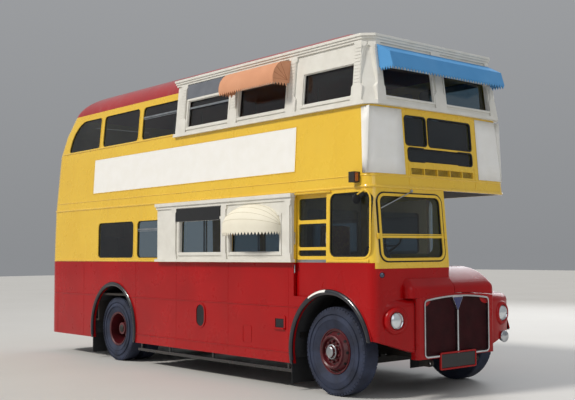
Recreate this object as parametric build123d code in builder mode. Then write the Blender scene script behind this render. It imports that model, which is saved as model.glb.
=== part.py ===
from build123d import *
from math import cos, radians, sin
import os

# Half-cab double decker bus with an open rear platform.
# Millimetres, +X forward, +Y to the nearside (left), +Z up, the origin on the ground at mid length.

os.makedirs("parts", exist_ok=True)

# Overall sizes
length = 8382
width = 2438
wheelbase = 5131
front_overhang = 912
front_x = length / 2 - front_overhang
rear_x = front_x - wheelbase
tail_x = -length / 2

# Heights of the body's seams above the ground
skirt_z = 330
waist_z = 1545
screen_waist_z = 1480
deck_z = 2390
sill_z = 3360
dome_break_z = 3700
cant_z = 4000
roof_z = 4378

# Body shell
wall = 40
roof_sheet = 35
glass = 6
glass_inset = 14
fit = 0.3
bearing_gap = 0.05
moving_gap = 6
front_radius = 120
front_bow = 45
pitch = 1238
pillar = 110
first_pillar_x = front_x - 750

# Cab, bulkhead and platform
bulkhead_x = front_x - 700
bulkhead = 40
cab_inner_y = -35
platform_x = front_x - 5930
platform_rear_y = 280
corner_x = tail_x + 320
platform_top_z = 360
saloon_floor_z = 630
floor_sheet = 30
upper_floor_z = deck_z + 34
cab_floor_z = 1216

# Tops of the front wings, over the wheel and at the lamp, and where they fall from one to the other
wing_tops = (1250, 1140)
wing_fall_x = (front_x + 300, front_x + 560)
wing_fall_radius = 250

# Wheels and tyres
front_tyre_radius = 515
front_tyre_width = 265
rear_tyre_radius = 495
rear_tyre_width = 245
rim_radius = 254
front_wheel_y = 1020
rear_outer_y = 1035
rear_inner_y = 740
kingpin_y = 800
arch_radius = 675
rear_arch_radius = 665
arch_cut_z = 510
arch_inner_y = 1000

# The body's plan at each seam: height, half width, nose ahead of the front axle, rise of the tail,
# radius of the rear corners
levels = (
    (skirt_z, width / 2, 800, 0, 300),
    (waist_z, width / 2, 810, 0, 300),
    (deck_z, 1205, 735, 15, 310),
    (sill_z, 1150, 655, 60, 340),
    (dome_break_z, 1121, 612, 190, 400),
    (cant_z, 1090, 565, 420, 450),
)
# The roof's plan above the cant rail, in the same columns
roof_levels = (
    (cant_z, 1090, 565, 420, 450),
    (4130, 1046, 440, 530, 470),
    (4245, 930, 230, 730, 480),
    (4335, 690, -150, 1080, 440),
    (roof_z, 330, -700, 1600, 250),
)


def level_at(height, table=levels):
    """Interpolate the body's plan sizes at a height."""
    for low, high in zip(table, table[1:]):
        if low[0] <= height <= high[0]:
            share = (height - low[0]) / (high[0] - low[0])
            return [a + (b - a) * share for a, b in zip(low[1:], high[1:])]
    return list(table[-1][1:])


def body_plan(height, inset, table=levels):
    """The body's outline in plan at a height, a given distance inside its skin."""
    half_width, front, tail_rise, rear_radius = level_at(height, table)
    half = half_width - inset
    nose = front_x + front - inset
    tail = tail_x + tail_rise + inset
    corner = nose - front_bow
    with BuildSketch(Plane.XY.offset(height)) as plan:
        with BuildLine() as outline:
            ThreePointArc((corner, -half), (nose, 0), (corner, half))
            Polyline((corner, half), (tail, half), (tail, -half), (corner, -half))
        make_face()
        ends = plan.vertices().sort_by(Axis.X)
        fillet(ends[2:], front_radius - inset)
        fillet(plan.vertices().sort_by(Axis.X)[:2], rear_radius - inset)
    return plan.sketch


def body_form(low, high, inset, mode=Mode.ADD):
    """Add or cut the body's form between two heights, in the part being built."""
    heights = [low] + [row[0] for row in levels if low < row[0] < high] + [high]
    for bottom, top in zip(heights, heights[1:]):
        loft([body_plan(bottom, inset), body_plan(top, inset)], ruled=True, mode=mode)


def skin_band(low, high):
    """The body's hollow skin between two heights."""
    with BuildPart() as band:
        body_form(low, high, 0)
        body_form(low, high, wall, mode=Mode.SUBTRACT)
    return band.part


def span(x_low, x_high, y_low, y_high, z_low, z_high, mode=Mode.ADD):
    """A plain block between two corners, in the part being built."""
    with Locations(((x_low + x_high) / 2, (y_low + y_high) / 2, (z_low + z_high) / 2)):
        Box(x_high - x_low, y_high - y_low, z_high - z_low, mode=mode)


def wheel_arch(axle_x, radius, y_low, y_high):
    """Cut a wheel arch across the body between two planes."""
    with BuildSketch(Plane.XZ.offset(-y_high)) as circle:
        with Locations((axle_x, arch_cut_z)):
            Circle(radius)
    extrude(circle.sketch, amount=y_high - y_low, mode=Mode.SUBTRACT)


def side_openings(rows, y_low=-1300, y_high=1300, mode=Mode.SUBTRACT):
    """Cut window openings between two planes; rows give rear, front, bottom, top and corner radius."""
    with BuildSketch(Plane.XZ.offset(-y_high)) as panes:
        for x_low, x_high, z_low, z_high, radius in rows:
            with Locations(((x_low + x_high) / 2, (z_low + z_high) / 2)):
                RectangleRounded(x_high - x_low, z_high - z_low, radius)
    extrude(panes.sketch, amount=y_high - y_low, mode=mode)


def front_openings(rows, x_low, x_high, mode=Mode.SUBTRACT):
    """Cut openings through the front; rows give the y and z limits and the corner radius."""
    with BuildSketch(Plane.YZ.offset(x_low)) as panes:
        for y_low, y_high, z_low, z_high, radius in rows:
            with Locations(((y_low + y_high) / 2, (z_low + z_high) / 2)):
                RectangleRounded(y_high - y_low, z_high - z_low, radius)
    extrude(panes.sketch, amount=x_high - x_low, mode=mode)


def save(part, name):
    """Label a finished piece and write it."""
    part.label = name
    export_step(part, f"parts/{name}.step")


far = 5000
sides = (-1, 1)
inner_half = width / 2 - wall
skirt_band = skin_band(skirt_z, waist_z)
saloon_band = skin_band(waist_z, deck_z)
middle_band = skin_band(deck_z, sill_z)
upper_band = skin_band(sill_z, cant_z)
pillars = [first_pillar_x - pitch * n for n in range(5)]

# Windows: bottoms and tops of the two rows
lower_window_z = (1603, 2160)
upper_window_z = (3396, 3900)
window_radius = 70
bays = list(zip(pillars[1:], pillars))
panes_x = [(rear + pillar / 2, front - pillar / 2) for rear, front in bays]

# Openings in the sides: rear, front, bottom, top, corner radius
lower_windows = [(rear, front, *lower_window_z, window_radius) for rear, front in panes_x]
upper_windows = [(rear, front, *upper_window_z, window_radius) for rear, front in panes_x]
upper_windows.append((first_pillar_x + pillar / 2, front_x + 380, *upper_window_z, window_radius))
cab_side_window = (front_x + 20, front_x + 690, 1610, 2345, 90)
door_opening = (front_x - 645, front_x - 45, 1140, 2360, 12)

# Openings in the front and rear: offside, nearside, bottom, top, corner radius
windscreen = (-1125, -95, 1556, 2335, 110)
front_windows = ((-615, -270, 2905, 3250, 40), (-235, 550, 2905, 3250, 40), (-590, 550, 2715, 2875, 40))
vent_opening = (-565, 550, 2560, 2640, 20)
upper_front_windows = ((-960, -70, 3396, 3880, 60), (70, 960, 3396, 3880, 60))
emergency_opening = (-560, 560, 3430, 3920, 60)

# Quarter windows of the upper deck: foot, bend and head of their curved rear edge
quarter_foot = (pillars[4] - 1143, upper_window_z[0])
quarter_bend = (pillars[4] - 990, 3712)
quarter_head = (pillars[4] - 630, upper_window_z[1])
quarter_front_x = pillars[4] - pillar / 2
quarter_radius = 45


def quarter_panes(mode=Mode.SUBTRACT):
    """Cut the quarter windows of the upper deck, whose rear edge leans forward in a curve."""
    with BuildSketch(Plane.XZ) as pane:
        with BuildLine():
            ThreePointArc(quarter_foot, quarter_bend, quarter_head)
            Polyline(quarter_head, (quarter_front_x, upper_window_z[1]),
                     (quarter_front_x, upper_window_z[0]), quarter_foot)
        make_face()
        corners = pane.vertices().sort_by(Axis.X)
        fillet([corners[0], *corners[2:]], quarter_radius)
    extrude(pane.sketch, amount=width, both=True, mode=mode)


# Red skirt panels below the waist, offside and nearside
with BuildPart() as skirt_sides:
    add(skirt_band)
    span(-far, bulkhead_x, -far, far, 0, far, mode=Mode.INTERSECT)
    span(-far, corner_x, -far, far, 0, far, mode=Mode.SUBTRACT)
    span(-far, platform_x, 0, far, 0, far, mode=Mode.SUBTRACT)
    wheel_arch(rear_x, rear_arch_radius, -width, width)
save(skirt_sides.part, "skirt_sides")

# Red rear panel beside the platform, carried round the offside corner
with BuildPart() as skirt_rear:
    add(skirt_band)
    span(-far, corner_x, -far, platform_rear_y, 0, far, mode=Mode.INTERSECT)
save(skirt_rear.part, "skirt_rear")

# Yellow window frames of the lower saloon
door_travel = 550
door_gap = 7
door_sheet = 28
door_lap = 10
door_over_arch = 45
door_inner_y = 1100
runner_end = 20
door_low = door_opening[2] - door_lap
door_high = door_opening[3] + door_lap
door_rear = door_opening[0] - door_lap
door_front = door_opening[1] + door_lap
runner_y = (-1170, -1128)
runner_z = (door_high + fit, deck_z - 2)
with BuildPart() as lower_frames:
    add(saloon_band)
    span(door_rear - door_travel - runner_end, bulkhead_x, *runner_y, *runner_z)
    span(-far, bulkhead_x, -far, far, 0, far, mode=Mode.INTERSECT)
    span(-far, corner_x, -far, far, 0, far, mode=Mode.SUBTRACT)
    span(-far, platform_x, 0, far, 0, far, mode=Mode.SUBTRACT)
    side_openings(lower_windows)
save(lower_frames.part, "lower_frames")

# Yellow rear panel above the red one
with BuildPart() as rear_panel:
    add(saloon_band)
    span(-far, corner_x, -far, platform_rear_y, 0, far, mode=Mode.INTERSECT)
save(rear_panel.part, "rear_panel")

# Yellow side panels between the decks
mid_front_x = front_x + 560
mid_rear_x = tail_x + 520
upper_front_x = mid_front_x - 60
upper_rear_cut_x = mid_rear_x - 60
with BuildPart() as mid_sides:
    add(middle_band)
    span(mid_rear_x, mid_front_x, -far, far, 0, far, mode=Mode.INTERSECT)
save(mid_sides.part, "mid_sides")

# Yellow front panel between the decks with its blind openings and ventilator
with BuildPart() as mid_front:
    add(middle_band)
    span(mid_front_x, far, -far, far, 0, far, mode=Mode.INTERSECT)
    front_openings(front_windows + (vent_opening,), mid_front_x + wall, far)
save(mid_front.part, "mid_front")

# Window frames of the upper saloon
with BuildPart() as upper_frames:
    add(upper_band)
    span(mid_rear_x, upper_front_x, -far, far, 0, far, mode=Mode.INTERSECT)
    side_openings(upper_windows)
    quarter_panes()
save(upper_frames.part, "upper_frames")

# Front frame of the upper saloon
with BuildPart() as upper_front:
    add(upper_band)
    span(upper_front_x, far, -far, far, 0, far, mode=Mode.INTERSECT)
    front_openings(upper_front_windows, mid_front_x - wall, far)
save(upper_front.part, "upper_front")

# Upper rear panel, from the platform's canopy to the cant rail, with the emergency window's hinges
window_hinge = (tail_x + 67, 3424)
hinge_pin = 5
hinge_eye = 9
hinge_places = (-350, 350)
tongue = 40
cheek = 12
cheek_gap = 5
cheek_y = tongue / 2 + cheek_gap
with BuildPart() as upper_rear:
    add(middle_band)
    add(upper_band)
    span(-far, mid_rear_x, -far, far, 0, far, mode=Mode.INTERSECT)
    quarter_panes()
    front_openings((emergency_opening,), -far, upper_rear_cut_x)
    for y in hinge_places:
        for end in sides:
            y_low, y_high = sorted((y + end * cheek_y, y + end * (cheek_y + cheek)))
            span(window_hinge[0] - hinge_eye, window_hinge[0] + wall, y_low, y_high,
                 window_hinge[1] - hinge_eye, emergency_opening[2])
        with BuildSketch(Plane.XZ.offset(-y - cheek_y - cheek)) as pin:
            with Locations(window_hinge):
                Circle(hinge_pin)
        extrude(pin.sketch, amount=2 * (cheek_y + cheek))
save(upper_rear.part, "upper_rear")

# Domed roof
with BuildPart() as roof:
    loft([body_plan(row[0], 0, roof_levels) for row in roof_levels])
    inner_levels = [(row[0] - roof_sheet, *row[1:]) for row in roof_levels[1:]]
    inner_levels.insert(0, roof_levels[0])
    loft([body_plan(row[0], roof_sheet, inner_levels) for row in inner_levels], mode=Mode.SUBTRACT)
save(roof.part, "roof")

# Lower floor, platform and rear wheel boxes
box_half_x = 570
box_inner_y = 575
box_top_z = 1045
with BuildPart() as platform_plate:
    body_form(skirt_z, platform_top_z, 0)
    span(-far, platform_x, -far, far, 0, far, mode=Mode.INTERSECT)
    add(skirt_sides.part, mode=Mode.SUBTRACT)
    add(skirt_rear.part, mode=Mode.SUBTRACT)
with BuildPart() as lower_floor:
    body_form(saloon_floor_z - floor_sheet, saloon_floor_z, wall)
    span(platform_x, bulkhead_x, -far, far, 0, far, mode=Mode.INTERSECT)
    span(platform_x - floor_sheet, platform_x, -inner_half, inner_half, skirt_z, saloon_floor_z)
    for y_low, y_high in ((-inner_half, -box_inner_y), (box_inner_y, inner_half)):
        span(rear_x - box_half_x, rear_x + box_half_x, y_low, y_high, saloon_floor_z, box_top_z)
    for y_low, y_high in ((-inner_half, -box_inner_y - floor_sheet), (box_inner_y + floor_sheet, inner_half)):
        span(rear_x - box_half_x + floor_sheet, rear_x + box_half_x - floor_sheet,
             y_low, y_high, 0, box_top_z - floor_sheet, mode=Mode.SUBTRACT)
    add(platform_plate.part)
save(lower_floor.part, "lower_floor")

# Upper floor, with the stairwell over the offside of the platform
stair_centre = (tail_x + 920, -600)
stair_going = 250
well_front_x = stair_centre[0] + 4 * stair_going
well_rear_x = tail_x + 620
well_inner_y = -380
with BuildPart() as upper_floor:
    body_form(deck_z, upper_floor_z, wall)
    span(well_rear_x, well_front_x, -far, well_inner_y, 0, far, mode=Mode.SUBTRACT)
save(upper_floor.part, "upper_floor")

# Front bulkhead of the lower saloon, clear of the sliding door's pocket
pocket_y = -(levels[2][1] - wall - 2 * door_gap - door_sheet) + 2 * door_gap
bulkhead_windows = ((pocket_y + 120, -120, 1640, 2200, 60), (130, 1020, 1640, 2200, 60))
bulkhead_faces = (bulkhead_x - fit, bulkhead_x + bulkhead + fit)
with BuildPart() as bulkhead_panel:
    body_form(saloon_floor_z, deck_z, wall)
    span(bulkhead_x, bulkhead_x + bulkhead, pocket_y, far, 0, far, mode=Mode.INTERSECT)
    front_openings(bulkhead_windows, *bulkhead_faces)

# Cab: red lower panel, yellow window frame and sliding door
inner_wall = (cab_inner_y - wall, cab_inner_y)
inner_window = (bulkhead_x + 160, front_x + 590, 1640, 2290, 90)
screen_strip_x = front_x + 740
screen_cut_x = front_x + 640
cowl_half = 680
cowl_top_z = 1175

# Sloping lower edge of the nose, rising from the cowl to the sides
nose_edge = ((cowl_half, 525), (width / 2, 685))
nose_rise = (nose_edge[1][1] - nose_edge[0][1]) / (nose_edge[1][0] - nose_edge[0][0])
nose_outer = (width, nose_edge[1][1] + nose_rise * (width - nose_edge[1][0]))


def below_nose(mode=Mode.SUBTRACT):
    """Cut away what lies below the sloping lower edge, ahead of the front axle."""
    with BuildSketch(Plane.YZ.offset(front_x)) as slopes:
        with BuildLine():
            Polyline((-width, 0), (-width, nose_outer[1]), (-cowl_half, nose_edge[0][1]),
                     (cowl_half, nose_edge[0][1]), nose_outer, (width, 0), close=True)
        make_face()
    extrude(slopes.sketch, amount=far, mode=mode)


def cab_inner(low, high):
    """The cab's inner wall beside the bonnet, between two heights."""
    with BuildPart() as inner:
        body_form(low, high, wall)
        span(bulkhead_x + bulkhead, far, *inner_wall, 0, far, mode=Mode.INTERSECT)
    return inner.part


def door_shape(lap, mode):
    """The sliding door's outline, whose lower corner follows the wheel arch."""
    rear, front, low, high, radius = door_opening
    with BuildSketch(Plane.XZ.offset(door_inner_y)) as outline:
        with Locations(((rear + front) / 2, (low + high) / 2)):
            RectangleRounded(front - rear + 2 * lap, high - low + 2 * lap, radius)
        with Locations((front_x, arch_cut_z)):
            Circle(arch_radius + door_over_arch - lap, mode=Mode.SUBTRACT)
    extrude(outline.sketch, amount=200, mode=mode)


with BuildPart() as cab_panel:
    add(skirt_band)
    span(bulkhead_x, far, -far, cab_inner_y, 0, far, mode=Mode.INTERSECT)
    span(screen_strip_x, far, -far, far, screen_waist_z, far, mode=Mode.SUBTRACT)
    below_nose()
    span(front_x, far, -cowl_half, far, 0, cowl_top_z, mode=Mode.SUBTRACT)
    wheel_arch(front_x, arch_radius, -width, -arch_inner_y)
    door_shape(0, Mode.SUBTRACT)
    add(cab_inner(cab_floor_z, waist_z))
save(cab_panel.part, "cab_panel")

with BuildPart() as screen_strip:
    add(skirt_band)
    span(screen_strip_x, far, -far, cab_inner_y, screen_waist_z, far, mode=Mode.INTERSECT)
with BuildPart() as cab_frame:
    add(saloon_band)
    span(bulkhead_x, far, -far, cab_inner_y, 0, far, mode=Mode.INTERSECT)
    add(screen_strip.part)
    add(cab_inner(waist_z, deck_z))
    door_shape(0, Mode.SUBTRACT)
    side_openings((cab_side_window,), -width, -door_inner_y)
    side_openings((inner_window,), 2 * inner_wall[0], 0)
    front_openings((windscreen,), screen_cut_x, far)
    span(bulkhead_x, door_front, *runner_y, *runner_z)
save(cab_frame.part, "cab_frame")

# Panes of the sliding door, bottom and top
door_panes = ((1622, 1692), (1728, 2008), (2052, 2312))
door_stile = 45
with BuildPart() as cab_door:
    body_form(door_low, door_high, wall + door_gap)
    body_form(door_low, door_high, wall + door_gap + door_sheet, mode=Mode.SUBTRACT)
    door_shape(door_lap, Mode.INTERSECT)
    side_openings([(door_rear + door_stile, door_front - door_stile, low, high, 30)
                   for low, high in door_panes], -width, 0)
save(cab_door.part, "cab_door")

# Floor of the cab over the front wheel, with the dash and the steering column
cab_floor = 24
cab_floor_top_z = cab_floor_z + cab_floor
seat_x = front_x - 260
seat_y = -640
seat_top_z = 1420
seat_base = 400
seat_base_high = 36
seat_post = 120
dash_x = (front_x + 560, front_x + 700)
dash_y = (-1080, -180)
dash_z = (1400, 1500)
dash_leg_y = (-300, -240)
column_radius = 28
column_top = Vector(front_x + 330, seat_y, 1720)
column_foot = Vector(front_x + 620, seat_y, cab_floor_top_z)
column_axis = (column_top - column_foot).normalized()
with BuildPart() as cab_fittings:
    span(bulkhead_x + bulkhead, dash_x[1], -1125, inner_wall[0], cab_floor_z, cab_floor_top_z)
    with Locations((seat_x, seat_y, cab_floor_top_z)):
        Box(seat_base, seat_base, seat_base_high, align=(Align.CENTER, Align.CENTER, Align.MIN))
        Box(seat_post, seat_post, seat_top_z - cab_floor_top_z,
            align=(Align.CENTER, Align.CENTER, Align.MIN))
    with BuildSketch(Plane(origin=column_foot, z_dir=column_axis)):
        Circle(column_radius)
    extrude(amount=(column_top - column_foot).length)
    span(*dash_x, *dash_y, *dash_z)
    span(dash_x[0] + wall, dash_x[1] - wall, *dash_leg_y, cab_floor_top_z, dash_z[0])
save(cab_fittings.part, "cab_fittings")

wheel_rim = 225
wheel_grip = 13
wheel_hub = 45
wheel_hub_deep = 30
wheel_seat = 0.5
spoke = 22
with BuildPart() as steering_wheel:
    with BuildSketch(Plane(origin=column_top + column_axis * wheel_seat, z_dir=column_axis)) as hub:
        Circle(wheel_hub)
    extrude(hub.sketch, amount=wheel_hub_deep)
    rim_plane = Plane(origin=column_top + column_axis * 20, z_dir=column_axis)
    with BuildSketch(Plane(origin=rim_plane.origin, x_dir=rim_plane.x_dir, z_dir=-rim_plane.y_dir)) as ring:
        with Locations((wheel_rim, 0)):
            Circle(wheel_grip)
    revolve(ring.sketch, axis=Axis(rim_plane.origin, column_axis))
    with BuildSketch(rim_plane) as spokes:
        with PolarLocations(0, 3, start_angle=90):
            with Locations((wheel_rim / 2, 0)):
                Rectangle(wheel_rim, spoke)
    extrude(spokes.sketch, amount=4, both=True)
save(steering_wheel.part, "steering_wheel")

seat_half = 230
seat_cushion = 100
seat_back = 90
seat_back_top_z = 2000
with BuildPart() as driver_seat:
    span(seat_x - seat_half, seat_x + seat_half, seat_y - seat_half, seat_y + seat_half,
         seat_top_z + fit, seat_top_z + seat_cushion)
    fillet(driver_seat.edges().filter_by(Axis.Z), 60)
    span(seat_x - seat_half - seat_back, seat_x - seat_half - fit, seat_y - seat_half, seat_y + seat_half,
         seat_top_z + fit, seat_back_top_z)
save(driver_seat.part, "driver_seat")

# Nose: radiator cowl with an arched top, and the grille in it
cowl_x = (front_x + 800, front_x + 900)
cowl_low = 445
cowl_shoulder_z = 1136
cowl_edge = 35
grille_half = 574
grille_low = 456
grille_shoulder_z = 1114
grille_top_z = 1157
grille_corner = 55
surround = 18
core = 60
centre_bar = 22
badge = (95, 190)


def cowl_outline(gap):
    """The cowl's outline from the front, its top and sides moved out by a gap."""
    side_y = cowl_half + gap
    shoulder_z = cowl_shoulder_z + gap
    with BuildSketch(Plane.YZ.offset(cowl_x[0])) as outline:
        with BuildLine():
            ThreePointArc((-side_y, shoulder_z), (0, cowl_top_z + gap), (side_y, shoulder_z))
            Polyline((side_y, shoulder_z), (side_y, cowl_low), (-side_y, cowl_low), (-side_y, shoulder_z))
        make_face()
    return outline.sketch


def grille_outline(x, inset):
    """The radiator surround's outline at a distance along the bus, set in by a distance."""
    side_y = grille_half - inset
    shoulder_z = grille_shoulder_z - inset
    with BuildSketch(Plane.YZ.offset(x)) as outline:
        with BuildLine():
            ThreePointArc((-side_y, shoulder_z), (0, grille_top_z - inset), (side_y, shoulder_z))
            Polyline((side_y, shoulder_z), (side_y, grille_low + inset), (-side_y, grille_low + inset),
                     (-side_y, shoulder_z))
        make_face()
        fillet(outline.vertices(), grille_corner - inset)
    return outline.sketch


with BuildPart() as radiator_cowl:
    extrude(cowl_outline(0), amount=cowl_x[1] - cowl_x[0])
    uprights = radiator_cowl.edges().filter_by(Axis.Z).group_by(Axis.X)[-1]
    fillet(uprights, cowl_edge)
    extrude(grille_outline(cowl_x[0], 0), amount=cowl_x[1] - cowl_x[0], mode=Mode.SUBTRACT)
save(radiator_cowl.part, "radiator_cowl")

face_x = cowl_x[0] + core
with BuildPart() as radiator_grille:
    extrude(grille_outline(cowl_x[0], 0), amount=core)
    extrude(grille_outline(face_x, 0), amount=front_x + front_overhang - face_x)
    extrude(grille_outline(face_x, surround), amount=front_x + front_overhang - face_x, mode=Mode.SUBTRACT)
    with BuildSketch(Plane.YZ.offset(face_x)) as front_bar:
        with Locations((0, (grille_low + grille_top_z) / 2)):
            Rectangle(centre_bar, grille_top_z - grille_low - surround)
        with BuildLine():
            Polyline((-badge[0], grille_top_z - surround), (badge[0], grille_top_z - surround),
                     (0, grille_top_z - badge[1]), close=True)
        make_face()
    extrude(front_bar.sketch, amount=front_x + front_overhang - face_x)
save(radiator_grille.part, "radiator_grille")

# Front wings: plan points at the cowl, the lamp and the shoulder, distances ahead of the axle and across
lamp_y = 934
lamp_z = 897
lamp_radius = 95
lamp_x = (front_x + 787, front_x + 821)
wing_plan = ((858, cowl_half), (816, lamp_y), (722, 1165))
wing_side_x = front_x + 648
wing_corner = 110
wing_round = 95


def below_wings(gap):
    """The outline of what lies below the wings' top line, raised by a gap."""
    with BuildSketch(Plane.XZ.offset(-width)) as below:
        with BuildLine():
            Polyline((tail_x, 0), (tail_x, wing_tops[0] + gap), (wing_fall_x[0], wing_tops[0] + gap),
                     (wing_fall_x[1], wing_tops[1] + gap), (far, wing_tops[1] + gap), (far, 0), close=True)
        make_face()
        bends = [v for v in below.vertices() if tail_x + 1 < v.X < far - 1]
        fillet(bends, wing_fall_radius)
    return below.sketch


def wing_form(side, inset):
    """A front wing's outer form, its top, front and side set in by a distance."""
    (cowl_ahead, cowl_y), (lamp_ahead, lamp_across), (shoulder_ahead, shoulder_y) = wing_plan
    half = width / 2 - inset
    start = (front_x + cowl_ahead - inset, side * cowl_y)
    through = (front_x + lamp_ahead - inset, side * lamp_across)
    shoulder = (front_x + shoulder_ahead - inset, side * (shoulder_y - inset / 2))
    with BuildPart() as form:
        with BuildSketch(Plane.XY.offset(skirt_z)) as plan:
            with BuildLine():
                ThreePointArc(start, through, shoulder)
                Polyline(shoulder, (wing_side_x - inset, side * half), (bulkhead_x, side * half),
                         (bulkhead_x, side * cowl_y), start)
            make_face()
            corners = [v for v in plan.vertices() if v.X > wing_side_x - inset - 1 and abs(v.Y) > lamp_across]
            fillet(corners, wing_corner - inset)
        extrude(plan.sketch, amount=wing_tops[0] - skirt_z)
        extrude(below_wings(-inset), amount=2 * width, mode=Mode.INTERSECT)
        top_edges = form.edges().filter_by(
            lambda e: e.center().Z > wing_tops[1] - inset - 1 and abs(e.center().Y) > cowl_y + 1)
        fillet([edge for edge in top_edges if edge not in top_edges.filter_by(Axis.Y)], wing_round - inset)
    return form.part


def lamp_holes(radius, amount, mode=Mode.SUBTRACT):
    """Round holes or bodies of the two headlamps, from the lamps' backs forward."""
    with BuildSketch(Plane.YZ.offset(lamp_x[0])) as circles:
        with Locations((-lamp_y, lamp_z), (lamp_y, lamp_z)):
            Circle(radius)
    extrude(circles.sketch, amount=amount, mode=mode)


with BuildPart() as offside_wing:
    add(wing_form(-1, 0))
    body_form(skirt_z, waist_z, 0, mode=Mode.SUBTRACT)
    below_nose()
with BuildPart() as nearside_wing:
    add(wing_form(1, 0))
    add(wing_form(1, wall), mode=Mode.SUBTRACT)
    below_nose()
    wheel_arch(front_x, arch_radius, arch_inner_y, width)
    span(bulkhead_x, bulkhead_x + bulkhead, 0, inner_half, 0, far, mode=Mode.SUBTRACT)
with BuildPart() as front_wings:
    add(offside_wing.part)
    add(nearside_wing.part)
    lamp_holes(lamp_radius, far)
save(front_wings.part, "front_wings")

# Bonnet: the lid's side profile from the back over the crown and the brow to the foot
bonnet_back = (bulkhead_x + bulkhead + 5, 1490)
bonnet_crown = (front_x + 376, 1484)
bonnet_bend = (front_x + 690, 1410)
bonnet_brow = (front_x + 886, 1265)
bonnet_foot_x = front_x + 897
bonnet_low_z = 1100
bonnet_half = 740
bonnet_skin = 22
bonnet_round = 110
brow_radius = 120
ridge_y = cab_inner_y + 12
hinge_rod = 5
hinge_foot = Vector(bonnet_back[0], ridge_y + bonnet_skin / 2, bonnet_back[1] - bonnet_skin / 2)
hinge_tip = Vector(bonnet_crown[0], ridge_y + bonnet_skin / 2, bonnet_crown[1] - bonnet_skin / 2)
hinge_axis = (hinge_tip - hinge_foot).normalized()


def bonnet_form(inset):
    """The lifting bonnet's outer form, set in by a distance."""
    back = (bonnet_back[0] - inset, bonnet_back[1] - inset)
    crown = (bonnet_crown[0], bonnet_crown[1] - inset)
    bend = (bonnet_bend[0] - inset / 2, bonnet_bend[1] - inset)
    brow = (bonnet_brow[0] - inset, bonnet_brow[1] - inset / 2)
    with BuildPart() as form:
        with BuildSketch(Plane.XZ.offset(-bonnet_half + inset)) as profile:
            with BuildLine():
                Line(back, crown)
                ThreePointArc(crown, bend, brow)
                Polyline(brow, (bonnet_foot_x - inset, bonnet_low_z), (back[0], bonnet_low_z), back)
            make_face()
            brows = [v for v in profile.vertices() if v.Y > bonnet_low_z + 1 and v.X > bend[0]]
            fillet(brows, brow_radius - inset)
        extrude(profile.sketch, amount=bonnet_half - inset - ridge_y)
        outer_edges = form.edges().group_by(Axis.Y)[-1]
        crown_edges = outer_edges.filter_by(
            lambda e: e.center().Z > bonnet_low_z + 1 and e.center().X > back[0] + 1)
        fillet(crown_edges, bonnet_round - inset)
    return form.part


# The bulkhead carries the rod that the bonnet hinges on
with BuildPart() as bulkhead_with_rod:
    add(bulkhead_panel.part)
    with BuildSketch(Plane(origin=hinge_foot - hinge_axis * 8, z_dir=hinge_axis)) as rod:
        Circle(hinge_rod)
    extrude(rod.sketch, amount=(hinge_tip - hinge_foot).length - 60)
save(bulkhead_with_rod.part, "bulkhead")

with BuildPart() as bonnet_lid:
    add(bonnet_form(0))
    add(bonnet_form(bonnet_skin), mode=Mode.SUBTRACT)
    extrude(below_wings(moving_gap), amount=2 * width, mode=Mode.SUBTRACT)
    extrude(cowl_outline(moving_gap), amount=far, mode=Mode.SUBTRACT)
    with BuildSketch(Plane(origin=hinge_foot - hinge_axis * 20, z_dir=hinge_axis)) as bore:
        Circle(hinge_rod + bearing_gap)
    extrude(bore.sketch, amount=(hinge_tip - hinge_foot).length - 30, mode=Mode.SUBTRACT)
save(bonnet_lid.part, "bonnet_lid")

# Fixed half of the bonnet ahead of the cab: back, shoulder, brow and foot of its profile
pillow_top_z = 1384
pillow_shoulder_x = front_x + 792
pillow_brow = (front_x + 888, 1262)
pillow_round = 90
pillow_edge = 98
pillow_half = 800
with BuildPart() as bonnet_offside:
    with BuildSketch(Plane.XZ.offset(-cab_inner_y)) as profile:
        with BuildLine():
            Polyline((screen_cut_x, wing_tops[1]), (screen_cut_x, pillow_top_z),
                     (pillow_shoulder_x, pillow_top_z), pillow_brow, (bonnet_foot_x, wing_tops[1]),
                     close=True)
        make_face()
        brows = [v for v in profile.vertices() if v.X > screen_cut_x + 1 and v.Y > wing_tops[1] + 1]
        fillet(brows, pillow_edge)
    extrude(profile.sketch, amount=pillow_half + cab_inner_y)
    outer_edges = bonnet_offside.edges().group_by(Axis.Y)[0].filter_by(
        lambda e: e.center().Z > wing_tops[1] + 1 and e.center().X > screen_cut_x + 1)
    fillet(outer_edges, pillow_round)
    body_form(skirt_z, waist_z, 0, mode=Mode.SUBTRACT)
    extrude(cowl_outline(0), amount=far, mode=Mode.SUBTRACT)
save(bonnet_offside.part, "bonnet_offside")

with BuildPart() as lamps:
    lamp_holes(lamp_radius - fit, lamp_x[1] - lamp_x[0], Mode.ADD)
save(lamps.part, "lamps")

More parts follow.
